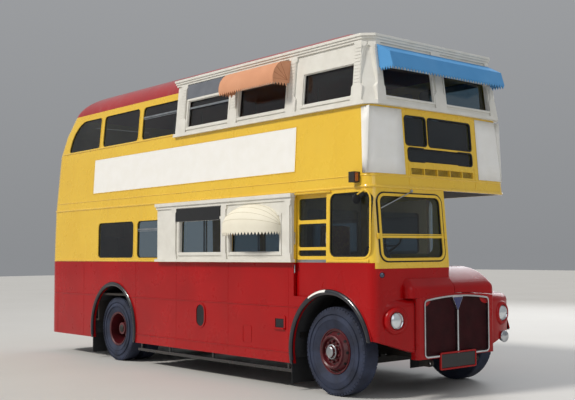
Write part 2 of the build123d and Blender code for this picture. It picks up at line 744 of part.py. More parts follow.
# Running gear: side rails, outriggers under the pillars, and a towing eye at each rail's front end
rail_y = 400
rail_half = 40
rail_low = 440
rail_high = 560
rail_inner_y = rail_y - rail_half
rail_outer_y = rail_y + rail_half
front_rail_end = front_x + 780
rear_rail_end = rear_x + 640
outrigger = (80, 80)
floor_low_z = saloon_floor_z - floor_sheet
front_member = 60
eye_plate = 30
eye_z = 385
eye_bore = 22
eye_radius = 42
eye_reach = 50
eye_root = 120
eye_lap = 10
with BuildPart() as underframe:
    for side in sides:
        y_low, y_high = sorted((side * rail_inner_y, side * rail_outer_y))
        span(rear_rail_end, front_rail_end, y_low, y_high, rail_low, rail_high)
        span(rear_rail_end, bulkhead_x, y_low, y_high, rail_high, floor_low_z)
        outer_low, outer_high = sorted((side * (rail_outer_y + fit), side * inner_half))
        for x in pillars[:4]:
            span(x - outrigger[0] / 2, x + outrigger[0] / 2, outer_low, outer_high,
                 floor_low_z - outrigger[1], floor_low_z)
    for x in pillars[:4]:
        span(x - outrigger[0] / 2, x + outrigger[0] / 2, fit - rail_inner_y, rail_inner_y - fit,
             floor_low_z - outrigger[1], floor_low_z)
    span(front_rail_end - front_member, front_rail_end, -rail_y, rail_y, rail_low, rail_high)
    for side in sides:
        with BuildSketch(Plane.XZ.offset(side * rail_y - eye_plate / 2)) as lug:
            with Locations((front_rail_end - eye_root / 2, (eye_z - eye_radius + rail_low + eye_lap) / 2)):
                Rectangle(eye_root, rail_low + eye_lap - eye_z + eye_radius)
            with Locations((front_rail_end, eye_z)):
                SlotCenterToCenter(2 * eye_reach, 2 * eye_radius)
            with Locations((front_rail_end + eye_reach, eye_z)):
                Circle(eye_bore, mode=Mode.SUBTRACT)
        extrude(lug.sketch, amount=eye_plate)
save(underframe.part, "underframe")

engine_x = (front_x - 560, front_x + 560)
engine_half = 330
engine_z = (470, 1100)
engine_bearers_x = (front_x - 400, front_x + 400)
engine_bearer = (100, 490, 550)
with BuildPart() as engine:
    span(*engine_x, -engine_half, engine_half, *engine_z)
    wide, low, high = engine_bearer
    for x in engine_bearers_x:
        span(x - wide / 2, x + wide / 2, -rail_inner_y, rail_inner_y, low, high)
save(engine.part, "engine")

shaft_z = 455
shaft_radius = 38
spindle_radius = 44
axle_tube_radius = 62
axle_tube_end = 600
spindle_end = 1050
gearbox_x = (front_x - 2300, front_x - 1650)
gearbox_half = 190
gearbox_z = (340, 500)
gearbox_bearers_x = (front_x - 2200, front_x - 1750)
gearbox_bearer = (80, 445, 500)
differential_radius = 98
spring_y = 470
spring_radius = 58
with BuildPart() as driveline:
    span(*gearbox_x, -gearbox_half, gearbox_half, *gearbox_z)
    wide, low, high = gearbox_bearer
    for x in gearbox_bearers_x:
        span(x - wide / 2, x + wide / 2, -rail_inner_y, rail_inner_y, low, high)
    with BuildSketch(Plane.YZ.offset(rear_x)) as shaft:
        with Locations((0, shaft_z)):
            Circle(shaft_radius)
    extrude(shaft.sketch, amount=engine_x[0] - rear_x)
    for radius, end in ((axle_tube_radius, axle_tube_end), (spindle_radius, spindle_end)):
        with BuildSketch(Plane.XZ.offset(-end)) as axle:
            with Locations((rear_x, rear_tyre_radius)):
                Circle(radius)
        extrude(axle.sketch, amount=2 * end)
    with Locations((rear_x, 0, rear_tyre_radius)):
        Sphere(differential_radius)
    for side in sides:
        with Locations((rear_x, side * spring_y, (rear_tyre_radius + floor_low_z) / 2)):
            Cylinder(spring_radius, floor_low_z - rear_tyre_radius)
save(driveline.part, "driveline")

# Front axle beam with an eye above and below each knuckle
knuckle_low = front_tyre_radius - 105
knuckle_high = front_tyre_radius + 105
knuckle_radius = 42
knuckle_gap = 5
kingpin_radius = 20
stub_radius = 40
stub_end = 300
beam_half = 60
beam_low = 330
beam_arm = 50
beam_post_y = (500, 560)
with BuildPart() as front_axle:
    beam_x = (front_x - beam_half, front_x + beam_half)
    span(*beam_x, -kingpin_y, kingpin_y, beam_low, knuckle_low - knuckle_gap)
    for side in sides:
        y_low, y_high = sorted(side * y for y in beam_post_y)
        span(*beam_x, y_low, y_high, beam_low, knuckle_high + beam_arm)
        y_low, y_high = sorted((side * beam_post_y[0], side * kingpin_y))
        span(front_x - beam_arm, front_x + beam_arm, y_low, y_high,
             knuckle_high + knuckle_gap, knuckle_high + beam_arm)
        y_low, y_high = sorted((side * rail_inner_y, side * rail_outer_y))
        span(*beam_x, y_low, y_high, knuckle_low - knuckle_gap, rail_low)
        with Locations((front_x, side * kingpin_y, (knuckle_low + knuckle_high) / 2)):
            Cylinder(kingpin_radius, knuckle_high - knuckle_low + beam_half)
save(front_axle.part, "front_axle")

for side, name in ((-1, "knuckle_offside"), (1, "knuckle_nearside")):
    with BuildPart() as knuckle:
        with Locations((front_x, side * kingpin_y, (knuckle_low + knuckle_high) / 2)):
            Cylinder(knuckle_radius, knuckle_high - knuckle_low)
        with BuildSketch(Plane.XZ.offset(-side * kingpin_y)) as stub:
            with Locations((front_x, front_tyre_radius)):
                Circle(stub_radius)
        extrude(stub.sketch, amount=-side * stub_end)
        with Locations((front_x, side * kingpin_y, front_tyre_radius)):
            Cylinder(kingpin_radius + bearing_gap, front_tyre_radius, mode=Mode.SUBTRACT)
    save(knuckle.part, name)

front_bore = stub_radius + bearing_gap
rear_bore = spindle_radius + bearing_gap
well = rim_radius - 19
rim_fit = rim_radius - fit

# Half section of a front wheel: radius, distance outboard of the wheel's middle
front_wheel_section = (
    (front_bore, -60), (95, -60), (95, 100), (156, 104), (172, 140), (186, 128), (219, 62), (well, 62),
    (well, -95), (rim_fit, -95), (rim_fit, 95), (well, 95), (well, 78), (198, 140), (190, 165), (176, 172),
    (162, 160), (152, 122), (84, 118), (80, 160), (62, 166), (58, 190), (0, 194), (0, 82), (front_bore, 82),
)
# Half section of the twin rear wheels: radius, distance outboard of the bus's middle
rear_wheel_section = (
    (rear_bore, 640), (110, 640), (110, 860), (well, 860), (well, 650), (rim_fit, 650), (rim_fit, 1125),
    (well, 1125), (well, 900), (110, 900), (90, 1065), (rear_bore, 1065),
)
# Half sections of the tyres: radius, distance outboard of the tyre's middle
front_tyre_section = (
    (rim_radius, -95), (rim_radius, 95), (370, front_tyre_width / 2), (480, front_tyre_width / 2 - 20),
    (front_tyre_radius, front_tyre_width / 2 - 45), (front_tyre_radius, 45 - front_tyre_width / 2),
    (480, 20 - front_tyre_width / 2), (370, -front_tyre_width / 2),
)
rear_tyre_section = (
    (rim_radius, -90), (rim_radius, 90), (360, rear_tyre_width / 2), (460, rear_tyre_width / 2 - 20),
    (rear_tyre_radius, rear_tyre_width / 2 - 42), (rear_tyre_radius, 42 - rear_tyre_width / 2),
    (460, 20 - rear_tyre_width / 2), (360, -rear_tyre_width / 2),
)


def turned(section, axle_x, axle_z, middle, side):
    """Revolve a half section about an axle, its outboard side turned to the given side."""
    with BuildSketch(Plane.XY.offset(axle_z)) as half_section:
        with BuildLine():
            Polyline(*[(axle_x + radius, middle + side * outboard) for radius, outboard in section],
                     close=True)
        make_face()
    revolve(half_section.sketch, axis=Axis((axle_x, 0, axle_z), (0, 1, 0)))


for side, name in ((-1, "offside"), (1, "nearside")):
    with BuildPart() as wheel:
        turned(front_wheel_section, front_x, front_tyre_radius, side * front_wheel_y, side)
    save(wheel.part, f"wheel_front_{name}")
    with BuildPart() as tyre:
        turned(front_tyre_section, front_x, front_tyre_radius, side * front_wheel_y, side)
    save(tyre.part, f"tyre_front_{name}")
    with BuildPart() as twin:
        turned(rear_wheel_section, rear_x, rear_tyre_radius, 0, side)
    save(twin.part, f"wheels_rear_{name}")
    with BuildPart() as twin_tyres:
        for middle in (side * rear_inner_y, side * rear_outer_y):
            turned(rear_tyre_section, rear_x, rear_tyre_radius, middle, side)
    save(twin_tyres.part, f"tyres_rear_{name}")


# Glass in the saloons' windows and in the cab
def glass_ring(low, high):
    """Add a skin of glass inside the frames between two heights."""
    body_form(low, high, glass_inset)
    body_form(low, high, glass_inset + glass, mode=Mode.SUBTRACT)


with BuildPart() as lower_glass:
    glass_ring(waist_z, deck_z)
    side_openings(lower_windows, mode=Mode.INTERSECT)
with BuildPart() as upper_side_glass:
    glass_ring(sill_z, cant_z)
    side_openings(upper_windows, mode=Mode.INTERSECT)
with BuildPart() as upper_quarter_glass:
    glass_ring(sill_z, cant_z)
    quarter_panes(mode=Mode.INTERSECT)
with BuildPart() as upper_front_glass:
    glass_ring(sill_z, cant_z)
    front_openings(upper_front_windows, mid_front_x - wall, far, mode=Mode.INTERSECT)
with BuildPart() as bulkhead_glass:
    pane_x = bulkhead_x + bulkhead / 2
    span(pane_x - glass / 2, pane_x + glass / 2, pocket_y, far, saloon_floor_z, deck_z)
    front_openings(bulkhead_windows, *bulkhead_faces, mode=Mode.INTERSECT)
with BuildPart() as saloon_glass:
    for panes in (lower_glass, upper_side_glass, upper_quarter_glass, upper_front_glass, bulkhead_glass):
        add(panes.part)
save(saloon_glass.part, "saloon_glass")

with BuildPart() as cab_side_glass:
    glass_ring(waist_z, deck_z)
    side_openings((cab_side_window,), -width, -door_inner_y, mode=Mode.INTERSECT)
with BuildPart() as windscreen_glass:
    glass_ring(waist_z, deck_z)
    front_openings((windscreen,), screen_cut_x, far, mode=Mode.INTERSECT)
with BuildPart() as blind_glass:
    glass_ring(deck_z, sill_z)
    front_openings(front_windows, mid_front_x + wall, far, mode=Mode.INTERSECT)
with BuildPart() as cab_glass:
    for panes in (cab_side_glass, windscreen_glass, blind_glass):
        add(panes.part)
save(cab_glass.part, "cab_glass")

# Upper shop-front moulding round both sides and the front
shop_rear_x = front_x - 3400
shop_level = level_at(sill_z)
shop_high = dome_break_z + 300 - sill_z
shop_lean = 60
shop_rake = 90
chamfer_wide = 120


def shop_plan(height, grow):
    """The moulding's outline in plan at a height, standing a distance off the body's own lines."""
    share = (height - sill_z) / shop_high
    half = shop_level[0] - share * shop_lean + grow
    nose = front_x + shop_level[1] - share * shop_rake + grow
    with BuildSketch(Plane.XY.offset(height)) as plan:
        with BuildLine():
            Polyline((shop_rear_x - grow, -half), (nose - chamfer_wide, -half), (nose, chamfer_wide - half),
                     (nose, half - chamfer_wide), (nose - chamfer_wide, half), (shop_rear_x - grow, half),
                     close=True)
        make_face()
    return plan.sketch


# Tiers of the moulding: bottom, top, stand-off
shop_tiers = ((3340, 3385, 42), (3385, 4075, 20), (4075, 4105, 40), (4105, 4135, 54), (4135, 4166, 68))
shaft_z_low, shaft_z_high = shop_tiers[1][:2]
shaft_off = shop_tiers[0][2]
shop_side_x = (front_x - 2607, front_x - 1369)
shop_half_pane = 490
shop_side_windows = [(x - shop_half_pane, x + shop_half_pane, 3460, 3820, 12) for x in shop_side_x]
shop_side_windows.append((front_x - 520, front_x + 360, 3460, 3820, 12))
shop_front_windows = ((-930, -118, 3455, 3800, 12), (118, 930, 3455, 3800, 12))
shop_face_x = front_x + 480
# Pilasters: middle, half width of the shaft and of the foot
side_pilasters = ((front_x - 3226, 60, 95), (first_pillar_x - pitch, 60, 95), (first_pillar_x, 60, 95),
                  (front_x + 445, 60, 95))
front_pilasters = ((-1000, 45, 68), (0, 60, 95), (1000, 45, 68))
foot_high = 160
foot_slope = 40
cap_high = 45
cap_lap = 20


def pilaster(middle, half, foot_half, low, high, foot):
    """Corner points of a pilaster: a foot with sloped shoulders, a shaft and a cap."""
    outline = ((foot_half, low), (foot_half, low + foot), (half, low + foot + foot_slope),
               (half, high - cap_high - cap_lap), (half + cap_lap, high - cap_high), (half + cap_lap, high))
    mirrored = [(-across, z) for across, z in reversed(outline)]
    return [(middle + across, z) for across, z in (*outline, *mirrored)]


def pilaster_strips(plane, rows, low, high, foot):
    """The outlines of a row of pilasters on a plane."""
    with BuildSketch(plane) as strips:
        for middle, half, foot_half in rows:
            with BuildLine():
                Polyline(*pilaster(middle, half, foot_half, low, high, foot), close=True)
            make_face()
    return strips.sketch


with BuildPart() as side_shafts:
    loft([shop_plan(shaft_z_low, shaft_off), shop_plan(shaft_z_high, shaft_off)], ruled=True)
    strips = pilaster_strips(Plane.XZ.offset(-width), side_pilasters, shaft_z_low, shaft_z_high, foot_high)
    extrude(strips, amount=2 * width, mode=Mode.INTERSECT)
with BuildPart() as front_shafts:
    loft([shop_plan(shaft_z_low, shaft_off), shop_plan(shaft_z_high, shaft_off)], ruled=True)
    face = Plane.YZ.offset(shop_face_x)
    strips = pilaster_strips(face, front_pilasters, shaft_z_low, shaft_z_high, foot_high)
    extrude(strips, amount=far, mode=Mode.INTERSECT)
with BuildPart() as shopfront_upper:
    for low, high, grow in shop_tiers:
        loft([shop_plan(low, grow), shop_plan(high, grow)], ruled=True)
    add(side_shafts.part)
    add(front_shafts.part)
    body_form(deck_z, cant_z, -fit, mode=Mode.SUBTRACT)
    loft([body_plan(row[0], -fit, roof_levels) for row in roof_levels], mode=Mode.SUBTRACT)
    side_openings(shop_side_windows)
    front_openings(shop_front_windows, shop_face_x, far)
save(shopfront_upper.part, "shopfront_upper")

# Lower shop-fronts: bottom, top, half width over the faces, overrun at the ends
lower_tiers = ((1548, 1585, 1285, 25), (1585, 2300, 1250, 0), (2300, 2340, 1266, 12), (2340, 2386, 1285, 25))
lower_shop = (front_x - 3760, front_x - 645)
lower_shop_windows = ((front_x - 3150, front_x - 2140, 1680, 2110, 10),
                      (front_x - 1930, front_x - 880, 1680, 2110, 10))
lower_pilasters = [(front_x + x, 38, 56) for x in (-3280, -2050, -700)]
lower_pilaster_half = 1270
lower_foot = 50
with BuildPart() as shopfronts_lower:
    for low, high, half, overrun in lower_tiers:
        span(lower_shop[0] - overrun, lower_shop[1] + overrun, -half, half, low, high)
    low, high = lower_tiers[1][:2]
    strips = pilaster_strips(Plane.XZ.offset(-lower_pilaster_half), lower_pilasters, low, high, lower_foot)
    extrude(strips, amount=2 * lower_pilaster_half)
    body_form(waist_z, deck_z, -fit, mode=Mode.SUBTRACT)
    side_openings(lower_shop_windows)
save(shopfronts_lower.part, "shopfronts_lower")

# Awnings: the insets of their inner faces make the cloth thicker on the slope than at the valance
awning_skin = 12
slope_share = 0.9
awning_cut_z = 3700
front_awning_half = 1000
front_awning = ((560, 4062), (812, 3930), (865, 3764))
awning_back_x = front_x + 500
with BuildPart() as awning_front:
    for inset, mode in ((0, Mode.ADD), (awning_skin, Mode.SUBTRACT)):
        with BuildSketch(Plane.XZ.offset(-front_awning_half + inset)) as section:
            with BuildLine():
                Polyline(*[(front_x + x - inset * slope_share, z - inset) for x, z in front_awning],
                         (awning_back_x, front_awning[2][1] - inset),
                         (awning_back_x, front_awning[0][1] - inset), close=True)
            make_face()
        extrude(section.sketch, amount=2 * (front_awning_half - inset), mode=mode)
    loft([shop_plan(awning_cut_z, shaft_off + fit), shop_plan(shaft_z_high, shaft_off + fit)],
         ruled=True, mode=Mode.SUBTRACT)
save(awning_front.part, "awning_front")

# Barrel awnings over the middle upper windows: distance across and height, wall to valance
barrel_x = (front_x - 1950, front_x - 790)
barrel = ((1110, 4050), (1280, 4024), (1385, 3925), (1418, 3765))
barrel_back_y = 1040
with BuildPart() as awnings_upper:
    for side in sides:
        for inset, mode in ((0, Mode.ADD), (awning_skin, Mode.SUBTRACT)):
            with BuildSketch(Plane.YZ.offset(barrel_x[0] + inset)) as section:
                with BuildLine():
                    points = [(side * (y - inset * slope_share), z - inset) for y, z in barrel]
                    Line(points[0], points[1])
                    ThreePointArc(points[1], points[2], points[3])
                    Polyline(points[3], (side * barrel_back_y, points[3][1]),
                             (side * barrel_back_y, points[0][1]), points[0])
                make_face()
            extrude(section.sketch, amount=barrel_x[1] - barrel_x[0] - 2 * inset, mode=mode)
    loft([shop_plan(awning_cut_z, shaft_off + fit), shop_plan(shop_tiers[2][1], shaft_off + fit)],
         ruled=True, mode=Mode.SUBTRACT)
save(awnings_upper.part, "awnings_upper")

# Domed awnings over the lower windows, a half ellipse swung out from the wall
dome_x = front_x - 1408
dome_half = 570
dome_reach = 285
dome_hinge_z = 2000
dome_valance = 70
wall_y = 1250 + fit


def dome(half, reach, side):
    """A quarter of a spheroid lying along the wall, above the hinge line."""
    with BuildPart() as form:
        with BuildSketch(Plane.XZ.offset(-side * wall_y)):
            with BuildLine():
                EllipticalCenterArc((dome_x, dome_hinge_z), half, reach, start_angle=0, arc_size=180)
                Line((dome_x - half, dome_hinge_z), (dome_x + half, dome_hinge_z))
            make_face()
        revolve(axis=Axis((0, side * wall_y, dome_hinge_z), (-1, 0, 0)))
        y_low, y_high = sorted((side * wall_y, side * far))
        span(-far, far, y_low, y_high, dome_hinge_z, far, mode=Mode.INTERSECT)
    return form.part


with BuildPart() as awnings_lower:
    for side in sides:
        add(dome(dome_half, dome_reach, side))
        add(dome(dome_half - awning_skin, dome_reach - awning_skin, side), mode=Mode.SUBTRACT)
        with BuildSketch(Plane.XY.offset(dome_hinge_z)) as valance:
            with Locations((dome_x, side * wall_y)):
                Ellipse(dome_half, dome_reach)
                Ellipse(dome_half - awning_skin, dome_reach - awning_skin, mode=Mode.SUBTRACT)
            with Locations((dome_x, side * (wall_y - dome_half))):
                Rectangle(4 * dome_half, 2 * dome_half, mode=Mode.SUBTRACT)
        extrude(valance.sketch, amount=-dome_valance)
save(awnings_lower.part, "awnings_lower")

# Emergency window in the upper rear panel, hinged along its lower edge
emergency_gap = 6
emergency_leaf = 30
leaf_reach = 40
leaf_seat = 4
with BuildPart() as emergency_window:
    body_form(sill_z, cant_z, 0)
    body_form(sill_z, cant_z, emergency_leaf, mode=Mode.SUBTRACT)
    y_low, y_high, z_low, z_high, radius = emergency_opening
    front_openings(((y_low + emergency_gap, y_high - emergency_gap, z_low + emergency_gap,
                     z_high - emergency_gap, radius - emergency_gap),), -far, mid_rear_x, mode=Mode.INTERSECT)
    hinge_x, hinge_z = window_hinge
    leaf_low = z_low + emergency_gap + leaf_seat
    leaf_high = z_low + leaf_reach
    for y in hinge_places:
        with BuildSketch(Plane.XZ.offset(-y - tongue / 2)) as leaf:
            with BuildLine():
                Polyline((hinge_x - hinge_eye, hinge_z - hinge_eye),
                         (hinge_x + hinge_eye, hinge_z - hinge_eye),
                         (hinge_x + hinge_eye, leaf_low), (hinge_x + leaf_reach, leaf_low),
                         (hinge_x + leaf_reach, leaf_high), (hinge_x - hinge_eye, leaf_high), close=True)
            make_face()
            with Locations(window_hinge):
                Circle(hinge_pin + bearing_gap, mode=Mode.SUBTRACT)
        extrude(leaf.sketch, amount=tongue)
save(emergency_window.part, "emergency_window")

# Staircase from the platform to the upper deck: winders round the rear corner, then straight treads
rise_count = 9
winder_count = 4
turn = 45
stair_rise = (upper_floor_z - platform_top_z) / rise_count
tread = 24
flight_y = (60 - inner_half, stair_centre[1] - 40)
stair_reach = 500
riser = 12
newel_reach = 90
guard_y = (stair_centre[1] - 60, stair_centre[1] - 30)
guard_x = (stair_centre[0] - newel_reach, platform_x - 60, well_front_x + 10)
guard_low_z = box_top_z + 15
with BuildPart() as staircase:
    for step in range(1, rise_count + 1):
        top = platform_top_z + step * stair_rise
        if step <= winder_count:
            start = radians(90 + turn * (step - 1))
            end = radians(90 + turn * step)
            centre_x, centre_y = stair_centre
            with BuildSketch(Plane.XY.offset(top - tread)) as winder:
                with BuildLine():
                    Polyline(*[(centre_x + reach * cos(angle), centre_y + reach * sin(angle))
                               for reach, angle in ((newel_reach, start), (stair_reach, start),
                                                    (stair_reach, end), (newel_reach, end))], close=True)
                make_face()
            extrude(winder.sketch, amount=tread)
            with Locations((centre_x + newel_reach * cos(start), centre_y + newel_reach * sin(start),
                            top - stair_rise / 2)):
                Cylinder(riser, stair_rise)
        else:
            x = stair_centre[0] + stair_going * (step - winder_count - 1)
            span(x - riser, x, *flight_y, top - stair_rise, top)
            if step < rise_count:
                span(x, x + stair_going, *flight_y, top - tread, top)
    span(*guard_x[:2], *guard_y, platform_top_z, deck_z)
    span(*guard_x[1:], *guard_y, guard_low_z, deck_z)
save(staircase.part, "staircase")

# Poles of the platform: middles
pole = 17
pole_spots = ((tail_x + 330, 900), (platform_x - 90, 1100))
with BuildPart() as handrails:
    for x, y in pole_spots:
        with Locations((x, y, (platform_top_z + deck_z) / 2)):
            Cylinder(pole, deck_z - platform_top_z)
save(handrails.part, "handrails")

# Seats: pairs each side of a gangway, in rows
cushion_wide = 840
seat_outer_y = 1115
upper_seat_y = seat_outer_y - 40
seat_deep = 400
seat_rise = 430
back_high = 520
row_pitch = 735
pan = 20
back_sheet = 25
seat_leg = (150, 190, 60)
cushion = 100
squab = 70
cushion_edge = 8
lower_rows = [bulkhead_x - 640 - row_pitch * n for n in range(5)]
upper_rows = [front_x - 190 - row_pitch * n for n in range(8)]
seat_places = [(x, side, saloon_floor_z, seat_outer_y) for x in lower_rows for side in sides]
seat_places += [(x, side, upper_floor_z, upper_seat_y) for x in upper_rows for side in sides]
with BuildPart() as seat_frames:
    leg_rear, leg_front, leg_in = seat_leg
    for x, side, floor_z, outer in seat_places:
        y_low, y_high = sorted((side * (outer - cushion_wide), side * outer))
        pan_z = floor_z + seat_rise
        span(x, x + seat_deep, y_low, y_high, pan_z - pan, pan_z)
        span(x - back_sheet, x, y_low, y_high, pan_z - pan, pan_z + back_high)
        span(x + leg_rear, x + leg_front, y_low + leg_in, y_high - leg_in, floor_z, pan_z - pan)
save(seat_frames.part, "seat_frames")
with BuildPart() as seat_cushions:
    for x, side, floor_z, outer in seat_places:
        y_low, y_high = sorted((side * (outer - cushion_wide + cushion_edge), side * (outer - cushion_edge)))
        pan_z = floor_z + seat_rise
        span(x + squab + 2, x + seat_deep + 10, y_low, y_high, pan_z + fit, pan_z + cushion)
        span(x + fit, x + squab, y_low, y_high, pan_z + fit, pan_z + back_high)
save(seat_cushions.part, "seat_cushions")

# Black arch trims; those at the front end above the nose's lower edge
trim_wide = 42
trim_thick = 22
trim_end_z = 665
with BuildPart() as arch_trims:
    for axle_x, radius in ((front_x, arch_radius), (rear_x, rear_arch_radius)):
        for side in sides:
            with BuildSketch(Plane.XZ.offset(-side * (width / 2 + fit))) as ring:
                with Locations((axle_x, arch_cut_z)):
                    Circle(radius + trim_wide)
                    Circle(radius, mode=Mode.SUBTRACT)
                with Locations((axle_x, skirt_z - radius)):
                    Rectangle(4 * radius, 2 * radius, mode=Mode.SUBTRACT)
                if axle_x == front_x:
                    with Locations((axle_x + radius, trim_end_z - radius)):
                        Rectangle(2 * radius, 2 * radius, mode=Mode.SUBTRACT)
            extrude(ring.sketch, amount=-side * trim_thick)
save(arch_trims.part, "arch_trims")

# Trafficator ears at both sides of the front
ear_x = (front_x + 430, front_x + 520)
ear_y = (1150, 1290)
ear_z = (2450, 2570)
with BuildPart() as mirrors:
    for side in sides:
        y_low, y_high = sorted(side * y for y in ear_y)
        span(*ear_x, y_low, y_high, *ear_z)
    body_form(deck_z, sill_z, -fit, mode=Mode.SUBTRACT)
save(mirrors.part, "mirrors")
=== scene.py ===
from math import atan2, ceil, cos, hypot, pi, radians, sin, sqrt, tan

import bmesh
import bpy
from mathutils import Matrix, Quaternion, Vector


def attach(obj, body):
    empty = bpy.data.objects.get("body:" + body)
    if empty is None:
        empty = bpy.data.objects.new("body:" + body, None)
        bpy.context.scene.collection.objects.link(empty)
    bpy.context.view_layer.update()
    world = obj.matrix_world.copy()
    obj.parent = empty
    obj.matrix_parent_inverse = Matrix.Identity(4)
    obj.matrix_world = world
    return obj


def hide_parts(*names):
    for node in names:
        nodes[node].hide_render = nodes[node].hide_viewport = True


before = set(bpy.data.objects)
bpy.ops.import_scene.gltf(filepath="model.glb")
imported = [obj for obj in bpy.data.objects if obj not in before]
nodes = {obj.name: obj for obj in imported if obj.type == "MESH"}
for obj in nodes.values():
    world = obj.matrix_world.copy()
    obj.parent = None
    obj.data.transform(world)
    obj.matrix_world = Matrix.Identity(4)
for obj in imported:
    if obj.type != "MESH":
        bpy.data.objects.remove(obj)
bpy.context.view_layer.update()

OFFSIDE = -1
NEARSIDE = 1
SIDES = (OFFSIDE, NEARSIDE)

# Axles, tail, bulkhead and platform, in metres from the middle of the bus; hubs and arches by height
FRONT = 3.279
REAR = -1.852
TAIL = -4.191
BULKHEAD_X = FRONT - 0.7
PLATFORM_X = FRONT - 5.93
FRONT_HUB_Z = 0.515
REAR_HUB_Z = 0.495
ARCH_Z = 0.51

HALF_WIDTH = 1.219
WAIST_Z = 1.545

# The body's plan at each seam: height, half width, nose from the front axle, rise of the tail
BODY = ((0.33, HALF_WIDTH, 0.8, 0.0), (WAIST_Z, HALF_WIDTH, 0.81, 0.0), (2.39, 1.205, 0.735, 0.015),
        (3.36, 1.15, 0.655, 0.06), (3.7, 1.121, 0.612, 0.19), (4.0, 1.09, 0.565, 0.42))
BEND_Z = 3.7
BOW = 0.045
CORNER = 0.12
REAR_CORNER = 0.31

# The upper shop-front's foot, and how far it leans in for each metre of height
SHOP_FOOT_Z = 3.36
SHOP_SIDE_LEAN = 60 / 640
SHOP_FRONT_LEAN = 90 / 640


def steps(low, high, count):
    """Even steps from one value to another, both included."""
    return [low + (high - low) * i / count for i in range(count + 1)]


def spaced(low, high, pitch):
    """Values from low, at a pitch, that stay below high."""
    return [low + pitch * k for k in range(ceil((high - low) / pitch))]


def polar(u, v, r, a):
    """The point at a distance and an angle from a centre."""
    return (u + r * cos(a), v + r * sin(a))


def swing(start, end):
    """The shorter turn from one angle to another."""
    return (end - start + pi) % (2 * pi) - pi


def spokes(count, phase=0.0):
    """Even angles round a wheel."""
    return [2 * pi * (k + phase) / count for k in range(count)]


def body_at(z):
    """Half width, nose and rise of the tail at a height."""
    z = min(max(z, BODY[0][0]), BODY[-1][0])
    for low, high in zip(BODY, BODY[1:]):
        if z <= high[0]:
            share = (z - low[0]) / (high[0] - low[0])
            return [a + (b - a) * share for a, b in zip(low[1:], high[1:])]
    return list(BODY[-1][1:])


def on_side(side):
    """Points on a side of the body, from distance along it, height and stand-off."""
    return lambda x, z, g: (x, side * (body_at(z)[0] + g), z)


def front_x(y, z, g=0.0):
    """How far forward the bowed front is at a point across it."""
    half, nose, _ = body_at(z)
    radius = (half * half + BOW * BOW) / (2 * BOW)
    return FRONT + nose - radius + sqrt(max(radius * radius - y * y, 0.0)) + g


def on_front(y, z, g):
    """Points on the bowed front, from distance across it, height and stand-off."""
    return (front_x(y, z, g), y, z)


def on_rear(y, z, g):
    """Points on the flat rear."""
    return (TAIL + body_at(z)[2] - g, y, z)


def on_shop_side(side):
    """Points on a side of the upper shop-front."""
    return lambda x, z, g: (x, side * (1.15 - (z - SHOP_FOOT_Z) * SHOP_SIDE_LEAN + g), z)


def on_lower_shop(side):
    """Points on a side of the lower shop-front."""
    return lambda x, z, g: (x, side * (1.25 + g), z)


def on_shop_front(y, z, g):
    """Points on the front of the upper shop-front."""
    return (FRONT + 0.655 - (z - SHOP_FOOT_Z) * SHOP_FRONT_LEAN + g, y, z)


def wrap(z, g, x_back):
    """A line round the front of the body at a height, from one side to the other."""
    half, nose, _ = body_at(z)
    half += g
    r = CORNER + g
    big = (half * half + BOW * BOW) / (2 * BOW)
    middle = FRONT + nose + g - big
    centre_x = middle + sqrt((big - r) ** 2 - (half - r) ** 2)
    lean = atan2(half - r, centre_x - middle)
    corner = [polar(centre_x, r - half, r, a) for a in steps(-pi / 2, -lean, 8)]
    bow = [polar(middle, 0.0, big, a) for a in steps(-lean, lean, 8)[1:-1]]
    return [(x_back, -half)] + corner + bow + [(x, -y) for x, y in reversed(corner)] + [(x_back, half)]


def body_line(z, g):
    """The whole outline of the body at a height and stand-off, from the offside round the front."""
    half, _, rise = body_at(z)
    r = REAR_CORNER + (min(max(z, 2.39), 4.0) - 2.39) * 0.087 + g
    corner = [polar(TAIL + rise - g + r, half + g - r, r, a) for a in steps(pi / 2, pi, 8)]
    return wrap(z, g, FRONT - 3.0) + corner + [(x, -y) for x, y in reversed(corner)]


# ---- materials ----

def linear(code):
    """A colour written as six hex digits, in the renderer's linear values."""
    values = [int(code[i:i + 2], 16) / 255 for i in (0, 2, 4)]
    return tuple(v / 12.92 if v <= 0.04045 else ((v + 0.055) / 1.055) ** 2.4 for v in values) + (1.0,)


